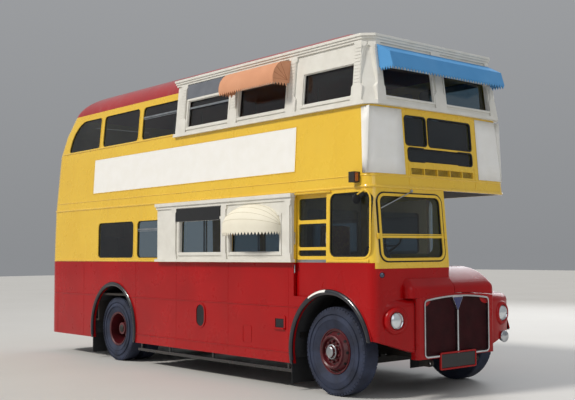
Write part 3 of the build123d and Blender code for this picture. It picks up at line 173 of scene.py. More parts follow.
class Finish:
    """A procedural material built round one shader."""

    def __init__(self, name, colour, rough=0.4, metal=0.0, coat=0.0, shine=0.5):
        self.material = bpy.data.materials.new(name)
        self.material.use_nodes = True
        self.material.diffuse_color = linear(colour)
        self.tree = self.material.node_tree
        self.shader = self.tree.nodes["Principled BSDF"]
        for slot, value in (("Base Color", linear(colour)), ("Roughness", rough), ("Metallic", metal),
                            ("Coat Weight", coat), ("Coat Roughness", 0.06), ("Specular IOR Level", shine)):
            self.shader.inputs[slot].default_value = value
        self.place = self.node("ShaderNodeTexCoord").outputs["Object"]

    def node(self, kind, **values):
        made = self.tree.nodes.new(kind)
        for key, value in values.items():
            if key in made.inputs:
                made.inputs[key].default_value = value
            else:
                setattr(made, key, value)
        return made

    def link(self, out, into):
        self.tree.links.new(out, into)

    def noise(self, scale, detail, stretch=(1, 1, 1)):
        mapping = self.node("ShaderNodeMapping", Scale=stretch)
        self.link(self.place, mapping.inputs["Vector"])
        made = self.node("ShaderNodeTexNoise", Scale=scale, Detail=detail, Roughness=0.55)
        self.link(mapping.outputs[0], made.inputs["Vector"])
        return made.outputs["Fac"]

    def span(self, value, low, high, to_low=0.0, to_high=1.0):
        """Rescale a value from one span to another, held at the ends."""
        made = self.node("ShaderNodeMapRange", **{"From Min": low, "From Max": high, "To Min": to_low,
                                                  "To Max": to_high})
        self.link(value, made.inputs["Value"])
        return made.outputs["Result"]

    def times(self, a, b):
        made = self.node("ShaderNodeMath", operation="MULTIPLY")
        for slot, value in zip(made.inputs, (a, b)):
            if isinstance(value, float):
                slot.default_value = value
            else:
                self.link(value, slot)
        return made.outputs[0]

    def height(self):
        made = self.node("ShaderNodeSeparateXYZ")
        self.link(self.place, made.inputs[0])
        return made.outputs["Z"]

    def tint(self, amount, colour):
        """Lay another colour over what there is, by an amount from 0 to 1."""
        made = self.node("ShaderNodeMix", data_type="RGBA", clamp_factor=True)
        slot = self.shader.inputs["Base Color"]
        if slot.is_linked:
            self.link(slot.links[0].from_socket, made.inputs["A"])
        else:
            made.inputs["A"].default_value = slot.default_value
        made.inputs["B"].default_value = linear(colour)
        self.link(amount, made.inputs["Factor"])
        self.link(made.outputs["Result"], slot)

    def patches(self, scale, detail, low, high, most, colour, least=0.0, stretch=(1, 1, 1)):
        """Lay a colour over in noisy patches."""
        self.tint(self.span(self.noise(scale, detail, stretch), low, high, least, most), colour)

    def roughen(self, amount, low, high):
        self.link(self.span(amount, 0, 1, low, high), self.shader.inputs["Roughness"])

    def bump(self, value, strength, distance):
        made = self.node("ShaderNodeBump", Strength=strength, Distance=distance)
        self.link(value, made.inputs["Height"])
        self.link(made.outputs[0], self.shader.inputs["Normal"])


def coach_paint(name, colour, deep, dust, low_dirt=0.16, coat=0.35, rough=0.22, shine=0.5):
    """Brushed coach enamel: slight waves, deeper patches, road dust near the ground and rain streaks."""
    made = Finish(name, colour, rough=rough, coat=coat, shine=shine)
    made.patches(1.4, 5, 0.35, 0.75, 0.55, deep)
    made.patches(5.0, 5, 0.56, 0.8, 0.1, dust, stretch=(1.6, 1.6, 0.12))
    near_ground = made.span(made.height(), 1.25, 0.32, 0.0, low_dirt)
    made.tint(made.times(near_ground, made.span(made.noise(7.0, 6), 0.3, 0.7)), dust)
    made.roughen(made.noise(3.0, 5), rough * 0.6, rough * 1.9)
    made.bump(made.noise(1.1, 2), 0.12, 0.02)
    return made.material


def plain(name, colour, rough=0.5, metal=0.0, coat=0.0, deep=None, grain=60.0, bump=0.05):
    """One colour with uneven gloss, and deeper patches and a fine grain where they are asked for."""
    made = Finish(name, colour, rough=rough, metal=metal, coat=coat)
    if deep:
        made.patches(6.0, 5, 0.35, 0.75, 0.7, deep)
    made.roughen(made.noise(9.0, 4), rough * 0.7, min(rough * 1.4, 1.0))
    if bump:
        made.bump(made.noise(grain, 3), bump, 0.002)
    return made.material


def glazing(name, tint, haze=0.03):
    """Window glass: see-through, with the sky's reflection on its outer faces and a little dust."""
    made = Finish(name, tint)
    clear = made.node("ShaderNodeBsdfTransparent", Color=linear(tint))
    glossy = made.node("ShaderNodeBsdfGlossy", Roughness=0.02, Color=(0.95, 0.97, 1.0, 1.0))
    dust = made.node("ShaderNodeBsdfDiffuse", Color=linear("A8A49A"))
    fresnel = made.node("ShaderNodeFresnel", IOR=1.52)
    outer_face = made.span(made.node("ShaderNodeNewGeometry").outputs["Backfacing"], 0.0, 1.0, 1.0, 0.0)
    clean, dusty = (made.node("ShaderNodeMixShader") for _ in range(2))
    for out, into in ((made.times(fresnel.outputs[0], outer_face), clean.inputs[0]),
                      (clear.outputs[0], clean.inputs[1]), (glossy.outputs[0], clean.inputs[2]),
                      (made.span(made.noise(1.5, 6), 0.3, 0.8, 0.0, haze), dusty.inputs[0]),
                      (clean.outputs[0], dusty.inputs[1]), (dust.outputs[0], dusty.inputs[2]),
                      (dusty.outputs[0], made.tree.nodes["Material Output"].inputs["Surface"])):
        made.link(out, into)
    made.tree.nodes.remove(made.shader)
    return made.material


def awning_cloth(name, colour, deep, light):
    """Painted canvas with a fine weave and faded patches."""
    made = Finish(name, colour, rough=0.75, shine=0.15)
    made.patches(3.0, 5, 0.35, 0.7, 0.45, deep)
    made.patches(1.2, 3, 0.5, 0.8, 0.45, light)
    weave = made.node("ShaderNodeTexWave", Scale=180.0, Distortion=0.4)
    made.link(made.place, weave.inputs["Vector"])
    made.bump(weave.outputs["Fac"], 0.15, 0.001)
    return made.material


# Black rubber with a second colour laid in patches: road dust on the plain rubber, and on the tyres a painted
# blue sheen of reflected sky.
def rubber(name, colour, dust):
    made = Finish(name, colour, rough=0.72)
    made.patches(5.0, 6, 0.35, 0.75, 0.5, dust, least=0.05)
    made.roughen(made.noise(12.0, 4), 0.6, 0.95)
    made.bump(made.noise(90.0, 4), 0.12, 0.001)
    return made.material


def moquette(name):
    """Woven seat cloth with a small check."""
    made = Finish(name, "7A2A24", rough=0.9)
    check = made.node("ShaderNodeTexChecker", Scale=36.0)
    made.link(made.place, check.inputs["Vector"])
    made.tint(made.times(check.outputs["Fac"], 0.7), "3C3A2A")
    made.patches(30.0, 3, 0.45, 0.7, 0.5, "B08A3A")
    made.bump(made.noise(220.0, 2), 0.3, 0.001)
    made.shader.inputs["Sheen Weight"].default_value = 0.4
    return made.material


def shaded_below(name, colour, deep, shade_colour, lit_z, shade_z):
    """A painted panel that goes near black below a height: painted shade where it shows inside the wheel
    arch.
    """
    made = Finish(name, colour, rough=0.6)
    made.patches(6.0, 5, 0.35, 0.75, 0.6, deep)
    made.tint(made.span(made.height(), lit_z, shade_z), shade_colour)
    made.roughen(made.noise(9.0, 4), 0.45, 0.85)
    return made.material


RED = coach_paint("red_enamel", "A40409", "860407", "5A2E26", low_dirt=0.1, coat=0.12, rough=0.24, shine=0.2)
YELLOW = coach_paint("yellow_enamel", "E8C03C", "DDB02C", "A89458", low_dirt=0.06)
ROOF = coach_paint("roof_enamel", "A8141A", "8A0E14", "B9A6A0", coat=0.45, rough=0.3)
CREAM = plain("cream_moulding", "DFDDD5", rough=0.42, coat=0.15, deep="CFCCC2", grain=25, bump=0.06)
ORANGE_CLOTH = awning_cloth("orange_canvas", "D69C7A", "C08462", "E6B699")
BLUE_CLOTH = awning_cloth("blue_canvas", "5A9AD0", "4A8AC2", "7CB2E0")
CREAM_CLOTH = awning_cloth("cream_canvas", "EAE5D4", "D8D1BC", "F4F0E4")
CREAM_RIB = plain("cream_rib", "B5AA8C", rough=0.8)
# Darker orange for the pleat lines: painted shade in the folds of the barrel awnings' ends.
PLEAT_SHADE_ORANGE = plain("orange_pleat", "A8653C", rough=0.8)
GLASS = glazing("window_glass", "C4D0D6")
FLOOR_BOARDS = plain("floor_boards", "2E2925", rough=0.85, deep="1F1B18", grain=40, bump=0.2)
CHASSIS = plain("chassis_black", "1A1918", rough=0.6, deep="3B342C", grain=50, bump=0.2)
ENGINE = plain("engine_grey", "4A4F50", rough=0.55, metal=0.3, deep="2B2A28", grain=40, bump=0.2)
MAROON = plain("rim_maroon", "5A1820", rough=0.38, coat=0.25, deep="35100F", grain=30, bump=0.06)
# The tyre's blue-black colour and its blue-grey patches are painted sheen: the sky's reflection on the
# rubber, laid in as colour.
TYRE = rubber("tyre_rubber", "12182A", "3F4A66")
BLACK_RUBBER = rubber("black_rubber", "0C0D10", "26282E")
BLACK_GLOSS = plain("black_enamel", "0E0F12", rough=0.25, coat=0.4, deep="1C1A18")
CHROME = plain("bright_metal", "C9CCD0", rough=0.16, metal=1.0, deep="8E9094", bump=0.0)
ALUMINIUM = plain("dull_aluminium", "B4B8BC", rough=0.34, metal=0.9, deep="85888C", bump=0.03)
MOQUETTE = moquette("moquette")
SEAT_METAL = plain("seat_metal", "5C1D1A", rough=0.45, deep="3C1412")
SEAT_HIDE = plain("seat_hide", "5A1A16", rough=0.5, deep="3A100E", grain=200, bump=0.2)
LAMP_LENS = plain("lamp_lens", "DDE3E6", rough=0.08, metal=0.55, coat=1.0, bump=0.0)
WHITE_PANEL = plain("white_panel", "EDECE8", rough=0.6, deep="E6E4DD", bump=0.02)
GREY_SIGN = plain("grey_sign", "6D7179", rough=0.45, deep="5C6068", bump=0.0)
BLACK_SIGN = plain("black_sign", "101114", rough=0.4, coat=0.2, bump=0.0)
AMBER = plain("amber_lens", "9A4410", rough=0.15, coat=0.8, bump=0.0)
RED_LENS = plain("red_lens", "8A0C0C", rough=0.12, coat=0.9, bump=0.0)
BLUE_LENS = plain("blue_lens", "26304A", rough=0.12, coat=0.9, bump=0.0)
BLUE_BADGE = plain("blue_badge", "1C2560", rough=0.25, coat=0.5, bump=0.0)
MESH_DARK = plain("grille_mesh", "4A1219", rough=0.5, metal=0.2, deep="2E0A0E")
# An opaque pane whose near-black colour is painted shade: the dim saloon seen through the glass.
DARK_GLASS = plain("dark_glass", "10161A", rough=0.05, coat=1.0, deep="1A2226", bump=0.0)
# The arch rubber's blue-black colour and its bluish patches are painted sheen: reflected sky on the glossy
# moulding.
TRIM_RUBBER = plain("arch_rubber", "0D0F16", rough=0.3, coat=0.5, deep="1C222E", grain=50, bump=0.05)
# The bulkhead lining goes near black below the front arch's top: painted shade inside the wheel arch.
SHADED_LINING = shaded_below("bulkhead_lining", "8A7A52", "6F6242", "161412", 1.24, 1.12)

FINISHES = {
    RED: ("skirt_sides", "skirt_rear", "cab_panel", "front_wings", "bonnet_lid", "bonnet_offside",
          "radiator_cowl"),
    YELLOW: ("lower_frames", "rear_panel", "mid_sides", "mid_front", "upper_rear", "upper_frames",
             "upper_front", "cab_frame", "cab_door", "emergency_window"),
    ROOF: ("roof",),
    CREAM: ("shopfront_upper", "shopfronts_lower"),
    BLUE_CLOTH: ("awning_front",),
    ORANGE_CLOTH: ("awnings_upper",),
    CREAM_CLOTH: ("awnings_lower",),
    GLASS: ("saloon_glass", "cab_glass"),
    FLOOR_BOARDS: ("lower_floor", "upper_floor"),
    SHADED_LINING: ("bulkhead",),
    SEAT_METAL: ("staircase", "seat_frames"),
    CHROME: ("handrails", "radiator_grille"),
    MOQUETTE: ("seat_cushions", "driver_seat"),
    CHASSIS: ("cab_fittings", "underframe", "driveline", "front_axle", "knuckle_offside", "knuckle_nearside",
              "mirrors"),
    BLACK_RUBBER: ("steering_wheel",),
    TRIM_RUBBER: ("arch_trims",),
    ENGINE: ("engine",),
    MAROON: ("wheel_front_offside", "wheel_front_nearside", "wheels_rear_offside", "wheels_rear_nearside"),
    TYRE: ("tyre_front_offside", "tyre_front_nearside", "tyres_rear_offside", "tyres_rear_nearside"),
    LAMP_LENS: ("lamps",),
}
for finish, names in FINISHES.items():
    for name in names:
        mesh = nodes[name].data
        mesh.materials.clear()
        mesh.materials.append(finish)
        mesh.shade_smooth()
        mesh.set_sharp_from_angle(angle=radians(28))


# ---- outlines ----

def rect(u0, u1, v0, v1):
    return ((u0, v0), (u1, v0), (u1, v1), (u0, v1))


def rounded(u0, u1, v0, v1, r, count=6):
    """A rectangle with rounded corners, and a point where a side crosses the body's upper bend."""
    line = []
    for u, v, start in ((u1 - r, v0 + r, -90), (u1 - r, v1 - r, 0),
                        (u0 + r, v1 - r, 90), (u0 + r, v0 + r, 180)):
        line += [polar(u, v, r, radians(a)) for a in steps(start, start + 90, count)]
        if v0 + r < BEND_Z < v1 - r and start in (-90, 90):
            line.append((u1 if start == -90 else u0, BEND_Z))
    return line


def inset(box, d):
    """A rounded rectangle, given by its limits and radius, drawn in by a distance."""
    u0, u1, v0, v1, r = box
    return rounded(u0 + d, u1 - d, v0 + d, v1 - d, r - d)


def softened(line, radii):
    """A closed outline with its corners rounded, each to its own radius."""
    made = []
    for i, (point, r) in enumerate(zip(line, radii)):
        corner = Vector(point)
        if not r:
            made.append(tuple(corner))
            continue
        back = (Vector(line[i - 1]) - corner).normalized()
        on = (Vector(line[(i + 1) % len(line)]) - corner).normalized()
        half = back.angle(on) / 2
        centre = corner + (back + on).normalized() * (r / sin(half))
        first, last = (corner + way * (r / tan(half)) - centre for way in (back, on))
        start = atan2(first.y, first.x)
        turn = swing(start, atan2(last.y, last.x))
        made += [polar(centre.x, centre.y, r, a) for a in steps(start, start + turn, 5)]
    return made


def arc_through(p, q, r):
    """Points on the circle through three points, from the first to the last."""
    (ax, ay), (bx, by), (cx, cy) = p, q, r
    d = 2 * (ax * (by - cy) + bx * (cy - ay) + cx * (ay - by))
    a2, b2, c2 = ax * ax + ay * ay, bx * bx + by * by, cx * cx + cy * cy
    mid_x = (a2 * (by - cy) + b2 * (cy - ay) + c2 * (ay - by)) / d
    mid_y = (a2 * (cx - bx) + b2 * (ax - cx) + c2 * (bx - ax)) / d
    start = atan2(ay - mid_y, ax - mid_x)
    turn = swing(start, atan2(cy - mid_y, cx - mid_x))
    radius = hypot(ax - mid_x, ay - mid_y)
    return [polar(mid_x, mid_y, radius, a) for a in steps(start, start + turn, 12)]


def grown(line, d):
    """A closed outline, anticlockwise, moved outward by a distance."""
    moved = []
    for i, (u, v) in enumerate(line):
        (pu, pv), (qu, qv) = line[i - 1], line[(i + 1) % len(line)]
        a = atan2(v - pv, u - pu)
        turn = swing(a, atan2(qv - v, qu - u))
        moved.append(polar(u, v, d / cos(turn / 2), a + turn / 2 - pi / 2))
    return moved


def half_round(z, half_high, proud, shoulder):
    """The section of a bead at a height: points of height and stand-off."""
    low, high = z - half_high, z + half_high
    return ((low, -0.002), (low, shoulder), (z, proud), (high, shoulder), (high, -0.002))


def turned(centre, axis, profile, segments):
    """Rings of points: a profile of radius and distance along the axis, turned round it."""
    centre, axis = Vector(centre), Vector(axis).normalized()
    side = axis.orthogonal().normalized()
    other = axis.cross(side)
    return [[centre + axis * along + (side * cos(t) + other * sin(t)) * radius
             for t in spokes(segments)] for radius, along in profile]


# ---- building blocks ----

class Kit:
    """Solids of one finish, collected into one piece that rides on one body."""

    every = []

    def __init__(self, name, finish, body="root", sharp=35, bevel=0.0, sheet=0.0):
        self.name, self.finish, self.body = name, finish, body
        self.sharp, self.bevel, self.sheet = sharp, bevel, sheet
        self.verts, self.faces = [], []
        Kit.every.append(self)

    def add(self, verts, faces):
        base = len(self.verts)
        self.verts += [tuple(v) for v in verts]
        self.faces += [tuple(base + i for i in face) for face in faces]

    def box(self, one, other):
        """A block between two opposite corners, in any order."""
        (a, d), (b, e), (c, f) = (sorted(pair) for pair in zip(one, other))
        self.add([(a, b, c), (d, b, c), (d, e, c), (a, e, c), (a, b, f), (d, b, f), (d, e, f), (a, e, f)],
                 [(0, 3, 2, 1), (4, 5, 6, 7), (0, 1, 5, 4), (1, 2, 6, 5), (2, 3, 7, 6), (3, 0, 4, 7)])

    def slab(self, place, outline, inner, outer):
        """An outline on a surface, made solid between two stand-offs."""
        n = len(outline)
        self.add([place(u, v, g) for g in (inner, outer) for u, v in outline],
                 [tuple(range(n, 2 * n)), tuple(reversed(range(n)))]
                 + [(i, (i + 1) % n, n + (i + 1) % n, n + i) for i in range(n)])

    def bands(self, rings, closed=True, capped=False):
        """Rows of points joined one to the next; closed joins each row's ends."""
        n = len(rings[0])
        last = n if closed else n - 1
        faces = [(k * n + i, k * n + (i + 1) % n, (k + 1) * n + (i + 1) % n, (k + 1) * n + i)
                 for k in range(len(rings) - 1) for i in range(last)]
        if capped:
            faces += [tuple(reversed(range(n))), tuple(range((len(rings) - 1) * n, len(rings) * n))]
        self.add([p for ring in rings for p in ring], faces)

    def ring(self, place, outer, inner, low, high):
        """A flat frame between two outlines of as many points."""
        self.bands([[place(u, v, g) for u, v in line] for line, g in
                    ((outer, low), (outer, high), (inner, high), (inner, low), (outer, low))])

    def frame(self, place, box, outer, inner, low, high):
        """A flat frame between two insets of a rounded rectangle."""
        self.ring(place, inset(box, outer), inset(box, inner), low, high)

    def strip(self, lines):
        """A bead: lines of points along it, one for each corner of its section, closed and capped."""
        self.bands([list(row) for row in zip(*lines)], capped=True)

    def side_bead(self, side, x_low, x_high, section):
        """A straight bead along a side of the body, from its points of height and stand-off."""
        self.strip([[on_side(side)(x, z, g) for x in (x_low, x_high)] for z, g in section])

    def tube(self, path, radius, sides=8):
        points = [Vector(p) for p in path]
        rings = []
        across = None
        for i, p in enumerate(points):
            along = (points[min(i + 1, len(points) - 1)] - points[max(i - 1, 0)]).normalized()
            across = across or along.orthogonal()
            across = (across - along * across.dot(along)).normalized()
            up = along.cross(across)
            rings.append([p + (across * cos(t) + up * sin(t)) * radius for t in spokes(sides)])
        self.bands(rings, capped=True)

    def lathe(self, centre, axis, profile, segments):
        """A turned ring, whose profile closes on itself."""
        self.bands(turned(centre, axis, (*profile, profile[0]), segments))

    def disc(self, centre, axis, profile, segments):
        """A turned solid, flat at both ends of its profile."""
        self.bands(turned(centre, axis, profile, segments), capped=True)

    def build(self):
        """Make the piece, with bevelled edges or a sheet's thickness where they are asked for."""
        mesh = bpy.data.meshes.new(self.name)
        mesh.from_pydata(self.verts, [], self.faces)
        solid = bmesh.new()
        solid.from_mesh(mesh)
        bmesh.ops.remove_doubles(solid, verts=solid.verts, dist=1e-6)
        bmesh.ops.recalc_face_normals(solid, faces=solid.faces)
        solid.to_mesh(mesh)
        solid.free()
        mesh.materials.append(self.finish)
        mesh.shade_smooth()
        mesh.set_sharp_from_angle(angle=radians(self.sharp))
        made = bpy.data.objects.new(self.name, mesh)
        bpy.context.scene.collection.objects.link(made)
        if self.bevel:
            edges = made.modifiers.new("edges", "BEVEL")
            edges.width, edges.segments, edges.limit_method = self.bevel, 2, "ANGLE"
        if self.sheet:
            thick = made.modifiers.new("sheet", "SOLIDIFY")
            thick.thickness, thick.offset = self.sheet, 0.0
        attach(made, self.body)
        return made


# ---- beads and panel joints ----

waist_bead = half_round(1.566, 0.014, 0.012, 0.008)
yellow_beads = Kit("yellow_beads", YELLOW)
for z, half_high, proud in ((3.385, 0.012, 0.012), (2.53, 0.007, 0.007), (2.405, 0.014, 0.013)):
    section = half_round(z, half_high, proud, proud * 0.6)
    lines = [[(x, y, at) for x, y in body_line(at, g)] for at, g in section]
    rows = [list(row) for row in zip(*lines)]
    yellow_beads.bands(rows + rows[:1])
for side, x_low in ((OFFSIDE, TAIL + 0.32), (NEARSIDE, PLATFORM_X)):
    yellow_beads.side_bead(side, x_low, BULKHEAD_X, waist_bead)

# Red beads run between the wheel arches, by their half widths at each height
red_beads = Kit("red_beads", RED)
for z, half_high, rear_arch, front_arch in ((1.015, 0.009, 0.445, 0.452), (0.462, 0.008, 0.667, 0.677)):
    for side in SIDES:
        for x_low, x_high in ((TAIL + 0.3, REAR - rear_arch), (REAR + rear_arch, FRONT - front_arch)):
            if side == NEARSIDE:
                x_low = max(x_low, PLATFORM_X)
            if x_high - x_low > 0.05 and (z > 0.6 or x_low > -3):
                red_beads.side_bead(side, x_low, x_high, half_round(z, half_high, 0.009, 0.006))

# Vertical panel joints, as narrow covers with rows of rivets
JOINT_FOOT_Z, JOINT_TOP_Z, TAIL_JOINT_TOP_Z = 0.335, 1.54, 1.005
ARCH_EDGE = 0.71
RIVET = ((0.0035, 0), (0.0032, 0.0014), (0.0012, 0.002))
joints = Kit("panel_joints", RED)
rivets = Kit("rivets", RED)
yellow_joints = Kit("yellow_joints", YELLOW)
for side in SIDES:
    for back in (0.76, 2.03, 3.306, 4.45, 6.141, 7.1):
        x = FRONT - back
        if side == NEARSIDE and x < PLATFORM_X:
            continue
        over_wheel = abs(x - REAR) < ARCH_EDGE
        low = ARCH_Z + sqrt(ARCH_EDGE ** 2 - (x - REAR) ** 2) if over_wheel else JOINT_FOOT_Z
        high = TAIL_JOINT_TOP_Z if x < TAIL + 0.4 else JOINT_TOP_Z
        inner_y, outer_y = (side * (HALF_WIDTH + proud) for proud in (-0.0025, 0.0015))
        joints.box((x - 0.012, inner_y, low), (x + 0.012, outer_y, high))
        for z in spaced(low + 0.04, high - 0.02, 0.075):
            rivets.disc((x + 0.02, side * HALF_WIDTH, z), (0, side, 0), RIVET, 6)
    for back in (1.988, 3.226, 4.464, 5.702):
        x = FRONT - back
        yellow_joints.slab(on_side(side), rect(x - 0.004, x + 0.004, 2.42, 3.36), -0.001, 0.0015)

# Banner boards between the decks and the wrapped panels at the front corners, all left blank
banners = Kit("banner_boards", WHITE_PANEL)
edges = Kit("banner_beads", YELLOW)
for side in SIDES:
    outline = rect(FRONT - 5.87, FRONT - 0.65, 2.653, 3.198)
    banners.slab(on_side(side), outline, 0.0, 0.004)
    edges.ring(on_side(side), grown(outline, 0.01), grown(outline, 0.001), -0.001, 0.006)

corner_panels = Kit("corner_panels", WHITE_PANEL, sheet=0.004)
panel_y = 0.655
for side in SIDES:
    rows = []
    for z in (2.555, 2.75, 2.95, 3.15, 3.318):
        line = [(x, -side * y, z) for x, y in wrap(z, 0.004, FRONT + 0.64) if y < -panel_y]
        rows.append(line + [on_front(side * panel_y, z, 0.004)])
    corner_panels.bands(rows, closed=False)

# ---- windows ----

LOWER_PANES = (1.603, 2.16, 0.07)
UPPER_PANES = (3.396, 3.9, 0.07)
PILLAR = 0.055
pillars = [FRONT - 0.75 - 1.238 * n for n in range(5)]
bays = [(rear + PILLAR, front - PILLAR) for rear, front in zip(pillars[1:], pillars)]
side_windows = [(*bay, *panes) for bay in bays for panes in (LOWER_PANES, UPPER_PANES)]
side_windows.append((pillars[0] + PILLAR, FRONT + 0.38, *UPPER_PANES))

gaskets = Kit("window_gaskets", BLACK_RUBBER)
window_trims = Kit("window_trims", YELLOW)
bars = Kit("toplight_bars", ALUMINIUM)
for side in SIDES:
    place = on_side(side)
    for window in side_windows:
        gaskets.frame(place, window, 0.0, 0.012, -0.02, -0.008)
        window_trims.frame(place, window, -0.016, 0.001, -0.002, 0.005)
    for bay, z in ((3, 3.74), (2, 3.74), (2, 2.03), (3, 2.03)):
        if (bay, side) != (3, OFFSIDE):
            bars.slab(place, rect(*bays[bay], z - 0.012, z + 0.012), -0.016, 0.0)
            bars.slab(place, rect(*bays[bay], z - 0.03, z - 0.022), -0.014, -0.006)

# The rearmost window of the upper deck, whose rear edge follows an arc
rearmost = pillars[4]
arc = arc_through((rearmost - 1.143, 3.396), (rearmost - 0.99, 3.712), (rearmost - 0.63, 3.9))
quarter = softened([(rearmost - PILLAR, z) for z in (3.396, BEND_Z, 3.9)] + arc[::-1],
                   [0.045, 0.0, 0.045] + [0.0] * 12 + [0.045])
for side in SIDES:
    gaskets.ring(on_side(side), quarter, grown(quarter, -0.012), -0.02, -0.008)
    window_trims.ring(on_side(side), grown(quarter, 0.016), grown(quarter, -0.001), -0.002, 0.005)

# The cab's side window and windscreen, with the bars and hinge blocks of its opening half
cab_window = (FRONT + 0.02, FRONT + 0.69, 1.61, 2.345, 0.09)
gaskets.frame(on_side(OFFSIDE), cab_window, 0.0, 0.014, -0.022, -0.004)
window_trims.frame(on_side(OFFSIDE), cab_window, -0.02, 0.001, -0.002, 0.006)
screen = rounded(-1.125, -0.095, 1.556, 2.335, 0.11)
gaskets.ring(on_front, grown(screen, 0.008), grown(screen, -0.008), -0.02, 0.008)
window_trims.ring(on_front, grown(screen, -0.0085), grown(screen, -0.04), -0.018, 0.012)
gaskets.ring(on_front, grown(screen, -0.0405), grown(screen, -0.048), -0.019, 0.002)
for z0, z1, proud in ((1.822, 1.85, 0.01), (1.856, 1.868, 0.004)):
    window_trims.slab(on_front, rect(-1.117, -0.102, z0, z1), -0.018, proud)
for y in (-1.138, -0.082):
    window_trims.slab(on_front, rounded(y - 0.016, y + 0.016, 1.812, 1.876, 0.006, 3), 0.01, 0.022)
for window in ((-0.615, -0.27, 2.905, 3.25, 0.04), (-0.235, 0.55, 2.905, 3.25, 0.04),
               (-0.59, 0.55, 2.715, 2.875, 0.04)):
    gaskets.frame(on_front, window, -0.008, 0.008, -0.02, 0.006)

# Blank black blinds behind the front glasses, a black sheet of painted shade behind the driver's vent, and
# the vent's slats
blinds = Kit("blank_blinds", BLACK_SIGN)
for limits in ((-0.6, -0.28, 2.92, 3.24), (-0.225, 0.54, 2.92, 3.24), (-0.58, 0.54, 2.73, 2.865)):
    blinds.slab(on_front, rect(*limits), -0.06, -0.05)
# A black sheet behind the vent's slats: painted shade inside the vent's opening.
blinds.slab(on_front, rect(-0.57, 0.555, 2.545, 2.655), -0.05, -0.041)
slats = Kit("vent_slats", YELLOW)
for y in (-0.565, -0.34, -0.115, 0.11, 0.335, 0.55):
    slats.slab(on_front, rect(y - 0.007, y + 0.007, 2.56, 2.64), -0.035, 0.003)
for z in steps(2.566, 2.634, 5):
    slats.slab(on_front, rect(-0.565, 0.55, z, z + 0.004), -0.02, -0.002)
slats.ring(on_front, rounded(-0.6, 0.585, 2.436, 2.69, 0.01, 1),
           rounded(-0.596, 0.581, 2.44, 2.686, 0.01, 1), -0.001, 0.004)
slats.ring(on_front, rounded(-0.575, 0.56, 2.55, 2.65, 0.02), rounded(-0.562, 0.547, 2.562, 2.638, 0.018),
           -0.002, 0.006)
for y in (-1.15, 1.125):
    for z in (2.43, 2.52):
        slats.disc(on_front(y, z, 0.0), (1, 0, 0), ((0.004, 0.0), (0.0035, 0.002), (0.0015, 0.003)), 8)

# ---- shop-fronts: blocked corner strips, window reveals and blank sign boards ----

quoins = Kit("block_courses", CREAM, bevel=0.002)
columns = [(on_shop_side(side), x, half) for side in SIDES for x, half in
           ((FRONT - 3.226, 0.056), (pillars[1], 0.056), (pillars[0], 0.056), (FRONT + 0.445, 0.052))]
for place, u, half in columns + [(on_shop_front, -1.0, 0.04), (on_shop_front, 1.0, 0.04)]:
    for z in spaced(3.6, 4.01, 0.04):
        quoins.slab(place, rect(u - half, u + half, z, z + 0.034), 0.04, 0.047)

reveals = Kit("shop_reveals", CREAM, bevel=0.002)


def reveal(place, u0, u1, v0, v1, edges, low, high):
    """A frame with nipped corners round an opening, from how far its two edges lie outside and above it."""
    lines = [rounded(u0 - du, u1 + du, v0 - dv, v1 + dv, 0.004, 1) for du, dv in edges]
    reveals.ring(place, *lines, low, high)


SIDE_EDGES = ((0.045, 0.045), (0.012, 0.012))
FRONT_EDGES = ((0.025, 0.03), (0.006, 0.006))
for side in SIDES:
    for back, front in ((3.097, 2.117), (1.859, 0.879), (0.52, -0.36)):
        reveal(on_shop_side(side), FRONT - back, FRONT - front, 3.46, 3.82, SIDE_EDGES, 0.015, 0.034)
    for back, front in ((3.15, 2.14), (1.93, 0.88)):
        reveal(on_lower_shop(side), FRONT - back, FRONT - front, 1.68, 2.11, SIDE_EDGES, -0.003, 0.014)
for y0, y1 in ((-0.93, -0.118), (0.118, 0.93)):
    reveal(on_shop_front, y0, y1, 3.455, 3.8, FRONT_EDGES, 0.015, 0.034)

signs = Kit("grey_signs", GREY_SIGN, bevel=0.002)
dark_signs = Kit("black_signs", BLACK_SIGN, bevel=0.002)
shop_bars = Kit("shop_bars", ALUMINIUM)
for side in SIDES:
    signs.slab(on_shop_side(side), rect(FRONT - 3.155, FRONT - 2.094, 3.862, 4.066), 0.018, 0.036)
    dark_signs.box((FRONT - 3.31, side * 1.247, 2.112), (FRONT - 2.15, side * 1.268, 2.29))
    shop_bars.slab(on_shop_side(side), rect(FRONT - 3.095, FRONT - 2.119, 3.712, 3.74), 0.004, 0.014)

# ---- awnings: toothed edges, seams and pleats ----

TOOTH = Vector((0, 0, -0.048))
FRONT_AWNING_Z = 3.768
BARREL_Z = 3.769
DOME_X, DOME_Y, DOME_Z = FRONT - 1.408, 1.2503, 2.0


def teeth(kit, top, out, thickness, count):
    """A toothed edge hung along a line: top(t) gives the line and out(t) the way it faces."""
    for k in range(count):
        p0, p1, p2 = (Vector(top((k + share) / count)) for share in (0.0, 0.5, 1.0))
        back = Vector(out(k / count)).normalized() * thickness
        face = [p0, p1, p2, p2 + TOOTH * 0.14, p1 + TOOTH, p0 + TOOTH * 0.14]
        kit.bands([[p - back for p in face], face], capped=True)


def straight_teeth(kit, start, end, out, thickness, count):
    """A toothed edge along a straight line."""
    teeth(kit, lambda t: [a + (b - a) * t for a, b in zip(start, end)], lambda t: out, thickness, count)


blue_teeth = Kit("front_awning_teeth", BLUE_CLOTH)
ends = [(FRONT + 0.864, y, FRONT_AWNING_Z) for y in (-1.0, 1.0)]
straight_teeth(blue_teeth, *ends, (1, 0, 0), 0.006, 40)
for y in (-0.999, 0.999):
    ends = [(FRONT + x, y, FRONT_AWNING_Z) for x in (0.66, 0.86)]
    straight_teeth(blue_teeth, *ends, (0, y, 0), 0.006, 5)

